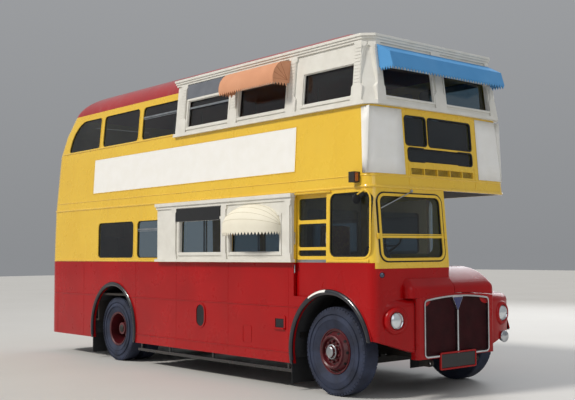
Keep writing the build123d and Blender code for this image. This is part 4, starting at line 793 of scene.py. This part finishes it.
orange_teeth = Kit("barrel_awning_teeth", ORANGE_CLOTH)
cream_teeth = Kit("dome_awning_teeth", CREAM_CLOTH)
seams = Kit("dome_awning_ribs", CREAM_RIB)
# The pleat lines are painted shade in the creases of the awning's gathered ends.
pleats = Kit("barrel_awning_pleats", PLEAT_SHADE_ORANGE)
for side in SIDES:
    ends = [(FRONT - x, side * 1.417, BARREL_Z) for x in (1.95, 0.79)]
    straight_teeth(orange_teeth, *ends, (0, side, 0), 0.006, 26)
    for x in (FRONT - 1.949, FRONT - 0.791):
        ends = [(x, side * y, BARREL_Z) for y in (1.19, 1.415)]
        straight_teeth(orange_teeth, *ends, (1, 0, 0), 0.003, 5)
    teeth(cream_teeth, lambda t: (DOME_X - 0.569 * cos(pi * t),
                                  side * (DOME_Y + 0.284 * sin(pi * t)), 1.934),
          lambda t: (-cos(pi * t) * 0.5, side * sin(pi * t), 0), 0.005, 30)
    for a in (radians(turn) for turn in (18, 38, 58, 78)):
        seams.tube([(DOME_X - 0.57 * cos(t), side * (DOME_Y + 0.2855 * sin(t) * cos(a)),
                     DOME_Z + 0.2855 * sin(t) * sin(a)) for t in steps(0, pi, 24)], 0.0022, 5)
    for x in (FRONT - 1.951, FRONT - 0.789):
        for y, z in ((1.3, 4.018), (1.365, 3.96), (1.4, 3.88), (1.413, 3.8)):
            pleats.tube([(x, side * 1.19, 3.8), (x, side * y, z)], 0.0018, 5)

# ---- wheels ----

TREAD_BLOCKS = 64


def tread(name, body, hub, width, side):
    """Shoulder blocks and ribs laid on a plain tyre, inside its own radius and width."""
    kit = Kit(name, TYRE, body, sharp=50)
    x, y, radius = hub
    ring = radius - 0.0005
    for shoulder in (-1, 1):
        y0, y1 = (y + shoulder * (width / 2 + d) for d in (-0.004, 0.018))
        section = ((ring - 0.01, y0), (ring, y0), (ring - 0.006, y1), (ring - 0.03, y1 + shoulder * 0.006))
        for t in spokes(TREAD_BLOCKS, 0.14):
            kit.bands([[(x + r * cos(a), across, radius + r * sin(a)) for r, across in section]
                       for a in (t, t + 2 * pi * 0.72 / TREAD_BLOCKS)], capped=True)
    rib = [(ring + proud, across) for proud, across in
           ((-0.006, -0.011), (0.0003, -0.01), (0.0003, 0.01), (-0.006, 0.011))]
    for k in range(-2, 3):
        kit.lathe((x, y + k * width / 5.4, radius), (0, 1, 0), rib, 96)
    for r in (radius - 0.085, radius - 0.15):
        foot = width / 2 + 0.03
        kit.lathe(hub, (0, side, 0), ((r - 0.004, foot), (r, foot + 0.016), (r + 0.004, foot)), 96)


def stud_ring(kit, hub, side, r, stand, profile, count, phase=0.0):
    """Studs round a hub, six-sided, at a radius and a distance outboard of its middle."""
    x, y, z = hub
    for t in spokes(count, phase):
        kit.disc((x + r * cos(t), y + side * stand, z + r * sin(t)), (0, side, 0), profile, 6)


for name, side in (("offside", OFFSIDE), ("nearside", NEARSIDE)):
    out = (0, side, 0)

    body = f"wheel_front_{name}"
    hub = (FRONT, side * 1.02, FRONT_HUB_Z)
    rim = Kit(f"front_ring_{name}", MAROON, body)
    rim.lathe(hub, out, ((0.246, 0.094), (0.254, 0.108), (0.262, 0.11), (0.265, 0.1), (0.258, 0.094)), 56)
    stud_ring(rim, hub, side, 0.118, 0.119, ((0.017, 0.0), (0.017, 0.024), (0.011, 0.033)), 10, 0.5)
    vents = Kit(f"front_vents_{name}", BLACK_RUBBER, body)
    for t in spokes(10):
        lean = (0.859 * cos(t), side * 0.512, 0.859 * sin(t))
        x, z = polar(FRONT, FRONT_HUB_Z, 0.2175, t)
        vents.disc((x, hub[1] + side * 0.1078, z), lean,
                   ((0.018, -0.002), (0.018, 0.0008), (0.016, 0.0012)), 14)
    cap = Kit(f"front_cap_{name}", ALUMINIUM, body)
    cap.disc(hub, out, ((0.06, 0.186), (0.061, 0.192), (0.054, 0.197), (0.034, 0.1985), (0.01, 0.199)), 32)
    cap.lathe(hub, out, ((0.081, 0.15), (0.086, 0.154), (0.086, 0.164), (0.078, 0.168), (0.07, 0.164)), 32)
    stud_ring(cap, hub, side, 0.071, 0.163, ((0.006, 0.0), (0.006, 0.009), (0.004, 0.011)), 8)
    tread(f"front_tread_{name}", body, hub, 0.175, side)

    body = f"wheels_rear_{name}"
    hub = (REAR, side * 0.9, REAR_HUB_Z)
    outer_hub = (REAR, side * 1.035, REAR_HUB_Z)
    rim = Kit(f"rear_ring_{name}", MAROON, body)
    rim.lathe(outer_hub, out,
              ((0.238, 0.086), (0.25, 0.1), (0.26, 0.102), (0.263, 0.094), (0.252, 0.086)), 56)
    rim.lathe(hub, out, ((0.094, 0.0), (0.094, 0.1), (0.086, 0.158), (0.06, 0.166), (0.06, 0.0)), 32)
    stud_ring(rim, hub, side, 0.135, 0.0, ((0.016, 0.0), (0.016, 0.03), (0.01, 0.04)), 10)
    cap = Kit(f"rear_cap_{name}", CHASSIS, body)
    cap.disc(hub, out, ((0.06, 0.15), (0.06, 0.172), (0.044, 0.184), (0.02, 0.188)), 24)
    tread(f"rear_tread_{name}_inner", body, (REAR, side * 0.74, REAR_HUB_Z), 0.16, side)
    tread(f"rear_tread_{name}_outer", body, outer_hub, 0.16, side)

# ---- nose: radiator mesh, lamp rings, plate, small lamps ----

NOSE = FRONT + 0.912
GRILLE_HALF = 0.556
LAMP_TOE = 0.16


def on_nose(y, z, g):
    """Points on the flat face of the nose."""
    return (NOSE + g, y, z)


def arched(y, half, shoulder, top):
    """Height of the radiator's arched top at a distance across it."""
    rise = top - shoulder
    radius = (half * half + rise * rise) / (2 * rise)
    return top - radius + sqrt(radius * radius - y * y)


grille = Kit("grille_mesh_bars", MESH_DARK)
grille_corner = 0.037
for y in steps(-0.55, 0.55, 66):
    if abs(y) < 0.013:
        continue
    past = max(abs(y) - 0.517, 0.0)
    drop = grille_corner - sqrt(grille_corner ** 2 - past ** 2)
    grille.box((FRONT + 0.862, y - 0.0022, 0.476 + drop),
               (FRONT + 0.873, y + 0.0022, arched(y, GRILLE_HALF, 1.096, 1.139) - drop))
for k in range(44):
    z = 0.486 + 0.0148 * k
    reach = 0.552 if z < 1.09 else 0.3
    grille.box((FRONT + 0.861, -reach, z - 0.0014), (FRONT + 0.868, reach, z + 0.0014))
corners = Kit("grille_corners", RED)
for side in SIDES:
    fan = [(GRILLE_HALF, 1.135), (GRILLE_HALF, 1.035)]
    fan += [(GRILLE_HALF - 0.125 * sin(t), 1.135 - 0.1 * cos(t)) for t in steps(0, pi / 2, 10)[1:]]
    outline = [(side * y, min(z, arched(y, GRILLE_HALF, 1.094, 1.137))) for y, z in fan]
    corners.slab(on_nose, outline, -0.038, -0.034)
badge = Kit("blank_badge", BLUE_BADGE, bevel=0.002)
badge.slab(on_nose, ((-0.082, 1.13), (0.0, 0.978), (0.082, 1.13)), -0.001, 0.005)

LAMP_SHELL = ((0.096, -0.03), (0.097, 0.014), (0.108, 0.028), (0.128, 0.026), (0.146, 0.012),
              (0.156, -0.012), (0.157, -0.04))
LAMP_RIM = ((0.08, 0.002), (0.082, 0.014), (0.089, 0.019), (0.0955, 0.014), (0.0955, 0.002))
LENS = ((0.083, 0.0032), (0.083, 0.01), (0.07, 0.017), (0.05, 0.023), (0.025, 0.027), (0.004, 0.028))
rings = Kit("headlamp_rings", RED)
chrome_rings = Kit("headlamp_rims", CHROME)
lenses = Kit("headlamp_lenses", LAMP_LENS)
flutes = Kit("lens_flutes", LAMP_LENS)
for side in SIDES:
    centre = (FRONT + 0.818, side * 0.934, 0.897)
    toe_out = (cos(LAMP_TOE), side * sin(LAMP_TOE), 0)
    rings.lathe(centre, toe_out, LAMP_SHELL, 56)
    chrome_rings.lathe(centre, (1, 0, 0), LAMP_RIM, 48)
    lenses.disc(centre, (1, 0, 0), LENS, 40)
    for across in steps(-0.0625, 0.0625, 10):
        reach = sqrt(0.074 ** 2 - across ** 2)
        flutes.tube([(centre[0] + 0.028 - 0.018 * (hypot(dz, across) / 0.083) ** 2, centre[1] + across,
                      centre[2] + dz) for dz in steps(-reach, reach, 8)], 0.0014, 4)

# Number plate, left blank, in its frame
plate = Kit("blank_plate", BLACK_SIGN, bevel=0.002)
plate.slab(on_nose, rounded(-0.296, 0.296, 0.324, 0.48, 0.008, 3), -0.01, 0.002)
plate_frame = Kit("plate_frame", RED, bevel=0.003)
plate_rim = rounded(-0.318, 0.318, 0.3, 0.503, 0.022)
plate_frame.ring(on_nose, plate_rim, grown(plate_rim, -0.02), -0.014, 0.007)

# Side lamp above the offside wing, fog lamp under the nearside headlamp, lines between the cowl and the wings
side_lamp = Kit("side_lamp_lens", BLUE_LENS)
lamp_seat = Kit("side_lamp_seat", RED)
centre, lean = (front_x(1.075, 1.409) - 0.016, -1.105, 1.409), (0.93, -0.37, 0)
side_lamp.disc(centre, lean, ((0.03, 0.0), (0.03, 0.022), (0.024, 0.032), (0.01, 0.036)), 24)
lamp_seat.lathe(centre, lean, ((0.031, 0.0), (0.033, 0.024), (0.043, 0.02), (0.05, 0.0)), 24)
fog_lamp = Kit("fog_lamp", CHROME)
fog_shell = ((0.025, -0.075), (0.06, -0.045), (0.072, -0.01), (0.074, 0.0), (0.066, 0.01), (0.02, 0.02))
fog_lamp.disc((FRONT + 0.845, 0.955, 0.605), (1, 0, 0), fog_shell, 32)
fog_lamp.tube([(FRONT + 0.79, 0.955, 0.64), (FRONT + 0.77, 0.955, 0.69)], 0.012)
cowl_edges = Kit("cowl_edges", BLACK_RUBBER)
for side in SIDES:
    cowl_edges.box((FRONT + 0.8, side * 0.6795, 0.53), (FRONT + 0.8595, side * 0.6835, 1.085))

# ---- cab and door fittings ----

DOOR_BACK, DOOR_FRONT = FRONT - 0.652, FRONT - 0.038
DOOR_DEPTH = 0.047


def on_door(x, z, g):
    """Points on the cab door, which hangs a little inside the body's side."""
    return (x, -(body_at(z)[0] - DOOR_DEPTH + g), z)


def handle(kit, x, y, z0, z1, shoulder, reach, bend, radius):
    """An upright handle, from the x and y of its shoulders and of its grip off its feet."""
    foot = ((0.0, 0.0, 0.0), (*shoulder, 0.004), (*reach, bend))
    kit.tube([(x + dx, y + dy, z0 + dz) for dx, dy, dz in foot]
             + [(x + dx, y + dy, z1 - dz) for dx, dy, dz in reversed(foot)], radius)


# Two grab handles on the jamb behind the cab door, and the door's own
handles = Kit("grab_handles", CHROME)
for z0, z1 in ((1.765, 1.912), (1.418, 1.522)):
    handle(handles, FRONT - 0.656, 0.014 - body_at(z0)[0], z0, z1, (0.012, 0.0), (0.017, 0.0), 0.014, 0.007)
door_handles = Kit("door_handles", CHROME, "cab_door")
handle(door_handles, FRONT - 0.062, DOOR_DEPTH - body_at(1.83)[0], 1.759, 1.904, (0.0, -0.024), (0.0, -0.03),
       0.018, 0.008)
door_glass = Kit("door_glass", GLASS, "cab_door")
for z0, z1 in ((1.618, 1.696), (1.724, 2.012), (2.048, 2.316)):
    door_glass.slab(on_door, rect(FRONT - 0.612, FRONT - 0.078, z0, z1), -0.017, -0.012)
door_red = Kit("door_lower_skin", RED, "cab_door")
over_arch = [(FRONT + x, ARCH_Z + sqrt(0.716 ** 2 - x * x)) for x in steps(-0.345, -0.04, 8)]
outline = [(DOOR_BACK, 1.134), (FRONT - 0.36, 1.134), *over_arch, (DOOR_FRONT, WAIST_Z), (DOOR_BACK, WAIST_Z)]
door_red.slab(on_door, outline, -0.001, 0.0012)
door_strip = Kit("door_waist_strip", ALUMINIUM, "cab_door")
door_strip.slab(on_door, rect(DOOR_BACK, DOOR_FRONT, 1.546, 1.58), -0.001, 0.002)

# Rain strip over the cab door, the waist bead in front of it, and the wiper
cab_strips = Kit("cab_strips", YELLOW)
cab_strips.side_bead(OFFSIDE, FRONT - 0.67, FRONT + 0.04,
                     ((2.368, -0.002), (2.362, 0.02), (2.374, 0.026), (2.384, 0.012), (2.384, -0.002)))
cab_strips.side_bead(OFFSIDE, FRONT - 0.03, FRONT + 0.68, waist_bead)
wiper = Kit("wiper", ALUMINIUM)
pivot = (-0.583, 2.364)
blade = ((front_x(0.62, 2.345, 0.03), -0.66, 2.335), (front_x(1.09, 2.154, 0.03), -1.093, 2.154))
wiper.tube([on_front(*pivot, 0.02), on_front(-0.84, 2.26, 0.035)], 0.006, 6)
wiper.tube(blade, 0.007, 6)
wiper.disc(on_front(*pivot, -0.01), (1, 0, 0), ((0.018, 0), (0.018, 0.022), (0.01, 0.032)), 16)

# Direction-indicator ears: amber lenses on the dark case
ears = Kit("ear_lenses", AMBER, bevel=0.003)
for side in SIDES:
    for x in (FRONT + 0.424, FRONT + 0.52):
        ears.box((x, side * 1.225, 2.462), (x + 0.006, side * 1.276, 2.558))

# Driver's mirror on its yellow arm
arm = Kit("mirror_arm", YELLOW)
x, y, z = root = (FRONT + 0.615, -body_at(2.35)[0], 2.35)
arm.tube([root, (x - 0.005, y - 0.03, z), (FRONT + 0.57, -1.25, 2.33), (FRONT + 0.535, -1.262, 2.305)],
         0.009)
arm.disc((x, y + 0.002, z), (0, -1, 0), ((0.02, 0.0), (0.02, 0.006), (0.014, 0.01)), 16)
mirror = Kit("driver_mirror", BLACK_RUBBER)
mirror_face = Kit("mirror_face", CHROME)
centre = (FRONT + 0.525, -1.262, 2.262)
mirror.disc(centre, (1, 0, 0),
            ((0.056, -0.008), (0.06, 0.0), (0.056, 0.014), (0.038, 0.024), (0.012, 0.028)), 28)
mirror_face.disc(centre, (-1, 0, 0), ((0.056, 0.008), (0.055, 0.0095)), 28)

# ---- skirt: filler, step, flap, guard rails, mud flaps ----

# Flat black slabs for the hollows of the filler and the step: painted shade inside the recesses, set in red
# rims.
recess_shade = Kit("filler_and_step", BLACK_RUBBER)
rims = Kit("filler_and_step_rims", RED)
place = on_side(OFFSIDE)
step = rounded(FRONT - 1.0, FRONT - 0.83, 0.747, 0.857, 0.006)
recess_shade.slab(place, rounded(FRONT - 2.767, FRONT - 2.572, 0.67, 0.966, 0.095), 0.0002, 0.0012)
recess_shade.slab(place, step, 0.0002, 0.0012)
rims.frame(place, (FRONT - 2.787, FRONT - 2.552, 0.65, 0.986, 0.115), 0.0, 0.022, -0.001, 0.01)
rims.ring(place, rounded(FRONT - 1.018, FRONT - 0.8, 0.712, 0.9, 0.03), step, -0.001, 0.009)
rims.slab(place, rect(FRONT - 1.018, FRONT - 0.812, 0.728, 0.745), 0.0, 0.028)
for side in SIDES:
    rims.ring(on_side(side), rounded(FRONT - 1.686, FRONT - 1.497, 0.52, 0.744, 0.03),
              rounded(FRONT - 1.68, FRONT - 1.503, 0.526, 0.738, 0.026), -0.001, 0.004)

rails = Kit("guard_rails", BLACK_GLOSS, bevel=0.004)
flaps = Kit("mud_flaps", BLACK_RUBBER)
rail_back, rail_front = REAR + 0.66, FRONT - 0.74
for side in SIDES:
    y = side * 1.14
    rails.box((rail_back, y - 0.012, 0.205), (rail_front, y + 0.012, 0.25))
    for x in (rail_back + 0.1, -0.3, 0.8, rail_front - 0.1):
        rails.box((x - 0.02, y - 0.008, 0.245), (x + 0.02, y + 0.008, 0.345))
    for x, inner_y, top in ((FRONT - 0.7, 0.86, 0.62), (REAR - 0.69, 0.66, 0.6)):
        flaps.box((x - 0.006, side * inner_y, 0.085), (x + 0.006, side * 1.205, top))

# Half-round rubber round the wheel arches, a pressed bead outside it, and a black sheet inside as painted
# shade
FRONT_ARCH, REAR_ARCH = 0.675, 0.665
CREST = ((-0.01, 0.014), (0.004, 0.027), (0.02, 0.031), (0.036, 0.027), (0.048, 0.014))
MOULDING = ((-0.01, -0.004), *CREST, (0.048, -0.004))
ARCH_BEAD = ((0.051, -0.003), (0.052, 0.007), (0.057, 0.01), (0.063, 0.007), (0.064, -0.003))


def round_arch(kit, axle_x, radius, side, section, first, last, count=40):
    """A section of width and stand-off carried round a wheel arch between two angles."""
    rows = []
    for t in steps(radians(first), radians(last), count):
        spots = [(polar(axle_x, ARCH_Z, radius + r, t), g) for r, g in section]
        rows.append([(x, side * (body_at(ARCH_Z)[0] + g), z) for (x, z), g in spots])
    kit.bands(rows, capped=True)


arch_rubber = Kit("arch_mouldings", TRIM_RUBBER)
arch_beads = Kit("arch_beads", RED)
# A black sheet inside each arch: painted shade in the wheel arch's hollow.
shade_linings = Kit("arch_shade_linings", BLACK_RUBBER, sheet=0.003)
for side in SIDES:
    for axle_x, radius, first, inner_y in ((FRONT, FRONT_ARCH, 13.5, 0.8), (REAR, REAR_ARCH, -12.0, 0.66)):
        round_arch(arch_rubber, axle_x, radius, side, MOULDING, first, 192.0)
        round_arch(arch_beads, axle_x, radius, side, ARCH_BEAD, first, 192.0)
        spread = steps(radians(14), radians(190), 24)
        arc = [polar(axle_x, ARCH_Z, radius + 0.015, t) for t in spread]
        shade_linings.bands([[(x, side * y, z) for y in (inner_y, 1.175)] for x, z in arc], closed=False)
# A painted highlight: a white shell over a short arc of the offside front arch rubber's crest, standing for
# the sky's reflection on the glossy rubber.
crest_highlight = Kit("arch_crest_highlight", WHITE_PANEL)
shell = [(r, g + 0.0015) for r, g in CREST[2:]] + [(r, g + 0.0003) for r, g in reversed(CREST[2:])]
round_arch(crest_highlight, FRONT, FRONT_ARCH, OFFSIDE, shell, 93.0, 119.0, 12)

# ---- rear ----

REAR_LENS = ((0.045, 0.0), (0.045, 0.004), (0.03, 0.008), (0.008, 0.01))
REAR_RIM = ((0.045, -0.002), (0.046, 0.007), (0.055, 0.006), (0.058, -0.002))
lamps = Kit("rear_lamps", RED_LENS)
lamp_rims = Kit("rear_lamp_rims", CHROME)
for y in (-0.88, 0.22):
    for z in (0.95, 1.12):
        spot = on_rear(y, z, 0.0)
        lamps.disc(spot, (-1, 0, 0), REAR_LENS, 24)
        lamp_rims.lathe(spot, (-1, 0, 0), REAR_RIM, 24)
Kit("rear_blank_boards", WHITE_PANEL).slab(on_rear, rect(-0.62, 0.62, 2.66, 3.2), 0.0, 0.004)
rear_plate = Kit("rear_blank_plate", BLACK_SIGN, bevel=0.003)
rear_plate.slab(on_rear, rounded(-0.52, 0.05, 1.3, 1.44, 0.01), 0.0, 0.007)
rear_trims = Kit("rear_window_trims", BLACK_RUBBER)
rear_trims.ring(on_rear, rounded(-0.585, 0.585, 3.405, 3.945, 0.08),
                rounded(-0.566, 0.566, 3.424, 3.926, 0.062), -0.002, 0.006)

# The emergency window's pane, as rows of height and half width that follow the body's bend
pane_rows = ((3.522, 0.44), (3.532, 0.458), (3.55, 0.466), (BEND_Z, 0.466), (3.8, 0.466), (3.818, 0.458),
             (3.828, 0.44))
# The pane is opaque and near black: painted shade for the saloon behind it.
window_glass = Kit("emergency_glass", DARK_GLASS, "emergency_window")
window_glass.strip([[on_rear(side * half, z, g) for z, half in pane_rows]
                    for side, g in ((-1, 0.0005), (-1, 0.003), (1, 0.003), (1, 0.0005))])
window_rim = Kit("emergency_glass_rim", BLACK_RUBBER, "emergency_window")
window_rim.frame(on_rear, (-0.485, 0.485, 3.505, 3.845, 0.065), 0.0, 0.02, -0.001, 0.006)

# ---- inside: stanchions and seats ----

stanchions = Kit("stanchions", CHROME)
for x in (FRONT - 1.9, FRONT - 3.4, FRONT - 4.9):
    for side in SIDES:
        for y, z0, z1 in ((0.31, 0.632, 2.388), (0.26, 2.426, 4.02)):
            stanchions.tube([(x, side * y, z0), (x, side * y, z1)], 0.015, 10)


def cushion(kit, low, high, crown, pinch, cells=8):
    """A stuffed block: crowned faces, rounded edges, and sides that pull in between the corners."""
    centre, half = (Vector(high) + Vector(low)) / 2, (Vector(high) - Vector(low)) / 2
    rim = min(half) * 0.45
    places = {}
    faces = []

    def stuffed(spot):
        """Where a grid point of the block goes."""
        u = [2 * c / cells - 1 for c in spot]
        point = []
        for axis in range(3):
            a, b = (u[k] for k in range(3) if k != axis)
            edge = max(abs(a), abs(b))
            swell = (1 - a * a) * (1 - b * b)
            reach = half[axis] - rim + rim * min(1.0, sqrt(max(1 - edge ** 12, 0.0)) * 0.5 + 0.5)
            drawn = 1 - pinch * (1 - u[axis] ** 2) * edge ** 2
            point.append(u[axis] * (reach + crown[axis] * swell) * drawn)
        return centre + Vector(point)

    for axis in range(3):
        for end in (0, cells):
            for i in range(cells):
                for j in range(cells):
                    spots = [[i + di, j + dj] for di, dj in ((0, 0), (1, 0), (1, 1), (0, 1))]
                    for spot in spots:
                        spot.insert(axis, end)
                    faces.append([places.setdefault(tuple(spot), len(places)) for spot in spots])
    kit.add([stuffed(spot) for spot in places], faces)


# Seats: rows of each deck, as the frames stand, and the driver's
SEAT_PITCH = 0.735
LOWER_ROWS = [BULKHEAD_X - 0.64 - SEAT_PITCH * n for n in range(5)]
UPPER_ROWS = [FRONT - 0.19 - SEAT_PITCH * n for n in range(8)]
for deck, rows, floor_z, outer in (("lower", LOWER_ROWS, 0.63, 1.115), ("upper", UPPER_ROWS, 2.424, 1.075)):
    pads = Kit(f"{deck}_seat_pads", MOQUETTE, sharp=60)
    backs = Kit(f"{deck}_seat_backs", MOQUETTE, sharp=60)
    piping = Kit(f"{deck}_seat_piping", SEAT_HIDE)
    pan = floor_z + 0.43
    for x in rows:
        for side in SIDES:
            y0, y1 = sorted((side * (outer - 0.832), side * (outer - 0.008)))
            middle = (y0 + y1) / 2
            for a, b in ((y0, middle - 0.002), (middle + 0.002, y1)):
                cushion(pads, (x + 0.074, a, pan + 0.002), (x + 0.405, b, pan + 0.088),
                        (0.004, 0.0, 0.011), 0.03)
                cushion(backs, (x + 0.003, a, pan + 0.102), (x + 0.062, b, pan + 0.515),
                        (0.007, 0.0, 0.003), 0.03)
            piping.tube([(x + 0.409, y0 + 0.02, pan + 0.078), (x + 0.409, y1 - 0.02, pan + 0.078)], 0.004, 6)
driver_pad = Kit("driver_seat_pad", MOQUETTE, sharp=60)
driver_back = Kit("driver_seat_back", MOQUETTE, sharp=60)
x = FRONT - 0.26
cushion(driver_pad, (x - 0.226, -0.866, 1.422), (x + 0.226, -0.414, 1.508), (0.003, 0.003, 0.011), 0.04)
cushion(driver_back, (x - 0.312, -0.866, 1.424), (x - 0.234, -0.414, 1.994), (0.007, 0.003, 0.004), 0.04)

# ---- every piece is made, and the stuffed ones stand for the solids of the seats ----

made = {kit.name: kit.build() for kit in Kit.every}
STUFFED = {"seat_cushions": ("lower_seat_pads", "lower_seat_backs", "upper_seat_pads", "upper_seat_backs"),
           "driver_seat": ("driver_seat_pad", "driver_seat_back")}
for solid, pieces in STUFFED.items():
    for piece in pieces:
        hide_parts(solid)

# ---- road, light and camera ----

scene = bpy.context.scene
floor_mesh = bpy.data.meshes.new("studio_floor")
floor_mesh.from_pydata([(-60, -60, 0), (60, -60, 0), (60, 60, 0), (-60, 60, 0)], [], [(0, 1, 2, 3)])
floor = bpy.data.objects.new("studio_floor", floor_mesh)
scene.collection.objects.link(floor)
ground = Finish("studio_ground", "C9C8C5", rough=0.65)
ground.patches(0.4, 4, 0.35, 0.7, 0.3, "BDBBB7")
ground.bump(ground.noise(140.0, 4), 0.15, 0.002)
floor_mesh.materials.append(ground.material)

world = bpy.data.worlds.new("studio")
scene.world = world
world.use_nodes = True
tree = world.node_tree
background = tree.nodes["Background"]
background.inputs["Strength"].default_value = 0.42
coords, gradient, sky = (tree.nodes.new(f"ShaderNode{kind}")
                         for kind in ("TexCoord", "SeparateXYZ", "ValToRGB"))
tree.links.new(coords.outputs["Generated"], gradient.inputs[0])
tree.links.new(gradient.outputs["Z"], sky.inputs[0])
tree.links.new(sky.outputs[0], background.inputs["Color"])
HORIZON, ZENITH = (0.0, (0.62, 0.64, 0.67, 1)), (0.55, (0.95, 0.97, 1.0, 1))
for stop, (position, colour) in zip(sky.color_ramp.elements, (HORIZON, ZENITH)):
    stop.position, stop.color = position, colour


def lamp(name, kind, place, aim, energy, size, colour):
    data = bpy.data.lights.new(name, kind)
    data.energy, data.color = energy, colour
    if kind == "SUN":
        data.angle = size
    else:
        data.shape, data.size = "SQUARE", size
    made = bpy.data.objects.new(name, data)
    made.location = place
    made.rotation_euler = (Vector(aim) - Vector(place)).to_track_quat("-Z", "Y").to_euler()
    scene.collection.objects.link(made)


lamp("key_sun", "SUN", (-4, -12, 13), (0, 0, 1), 2.6, radians(9), (1.0, 0.96, 0.9))
lamp("front_fill", "AREA", (15, -3, 7), (2, 0, 2), 260, 8, (0.92, 0.95, 1.0))
lamp("far_rim", "AREA", (-3, 14, 9), (0, 0, 2), 800, 10, (0.95, 0.97, 1.0))

# The photograph's camera: its lens and shift are in pixels of a picture 575 wide
PHOTO_WIDTH = 575
SENSOR = 36.0
camera_data = bpy.data.cameras.new("photo_camera")
camera = bpy.data.objects.new("photo_camera", camera_data)
scene.collection.objects.link(camera)
scene.camera = camera
yaw, pitch, roll = -0.8235, 0.0505, -0.0066
ahead = Vector((sin(yaw) * cos(pitch), cos(yaw) * cos(pitch), sin(pitch)))
camera.location = (8.06 + FRONT, -8.2469, 1.6575)
camera.rotation_mode = "QUATERNION"
camera.rotation_quaternion = ahead.to_track_quat("-Z", "Y") @ Quaternion((0, 0, 1), roll)
camera_data.sensor_width = SENSOR
camera_data.lens = 919.36 / PHOTO_WIDTH * SENSOR
camera_data.shift_x = -68.44 / PHOTO_WIDTH
camera_data.shift_y = 6.35 / PHOTO_WIDTH
camera_data.clip_end = 200

scene.view_settings.view_transform = "Standard"
scene.view_settings.look = "None"
scene.view_settings.exposure = 0.0
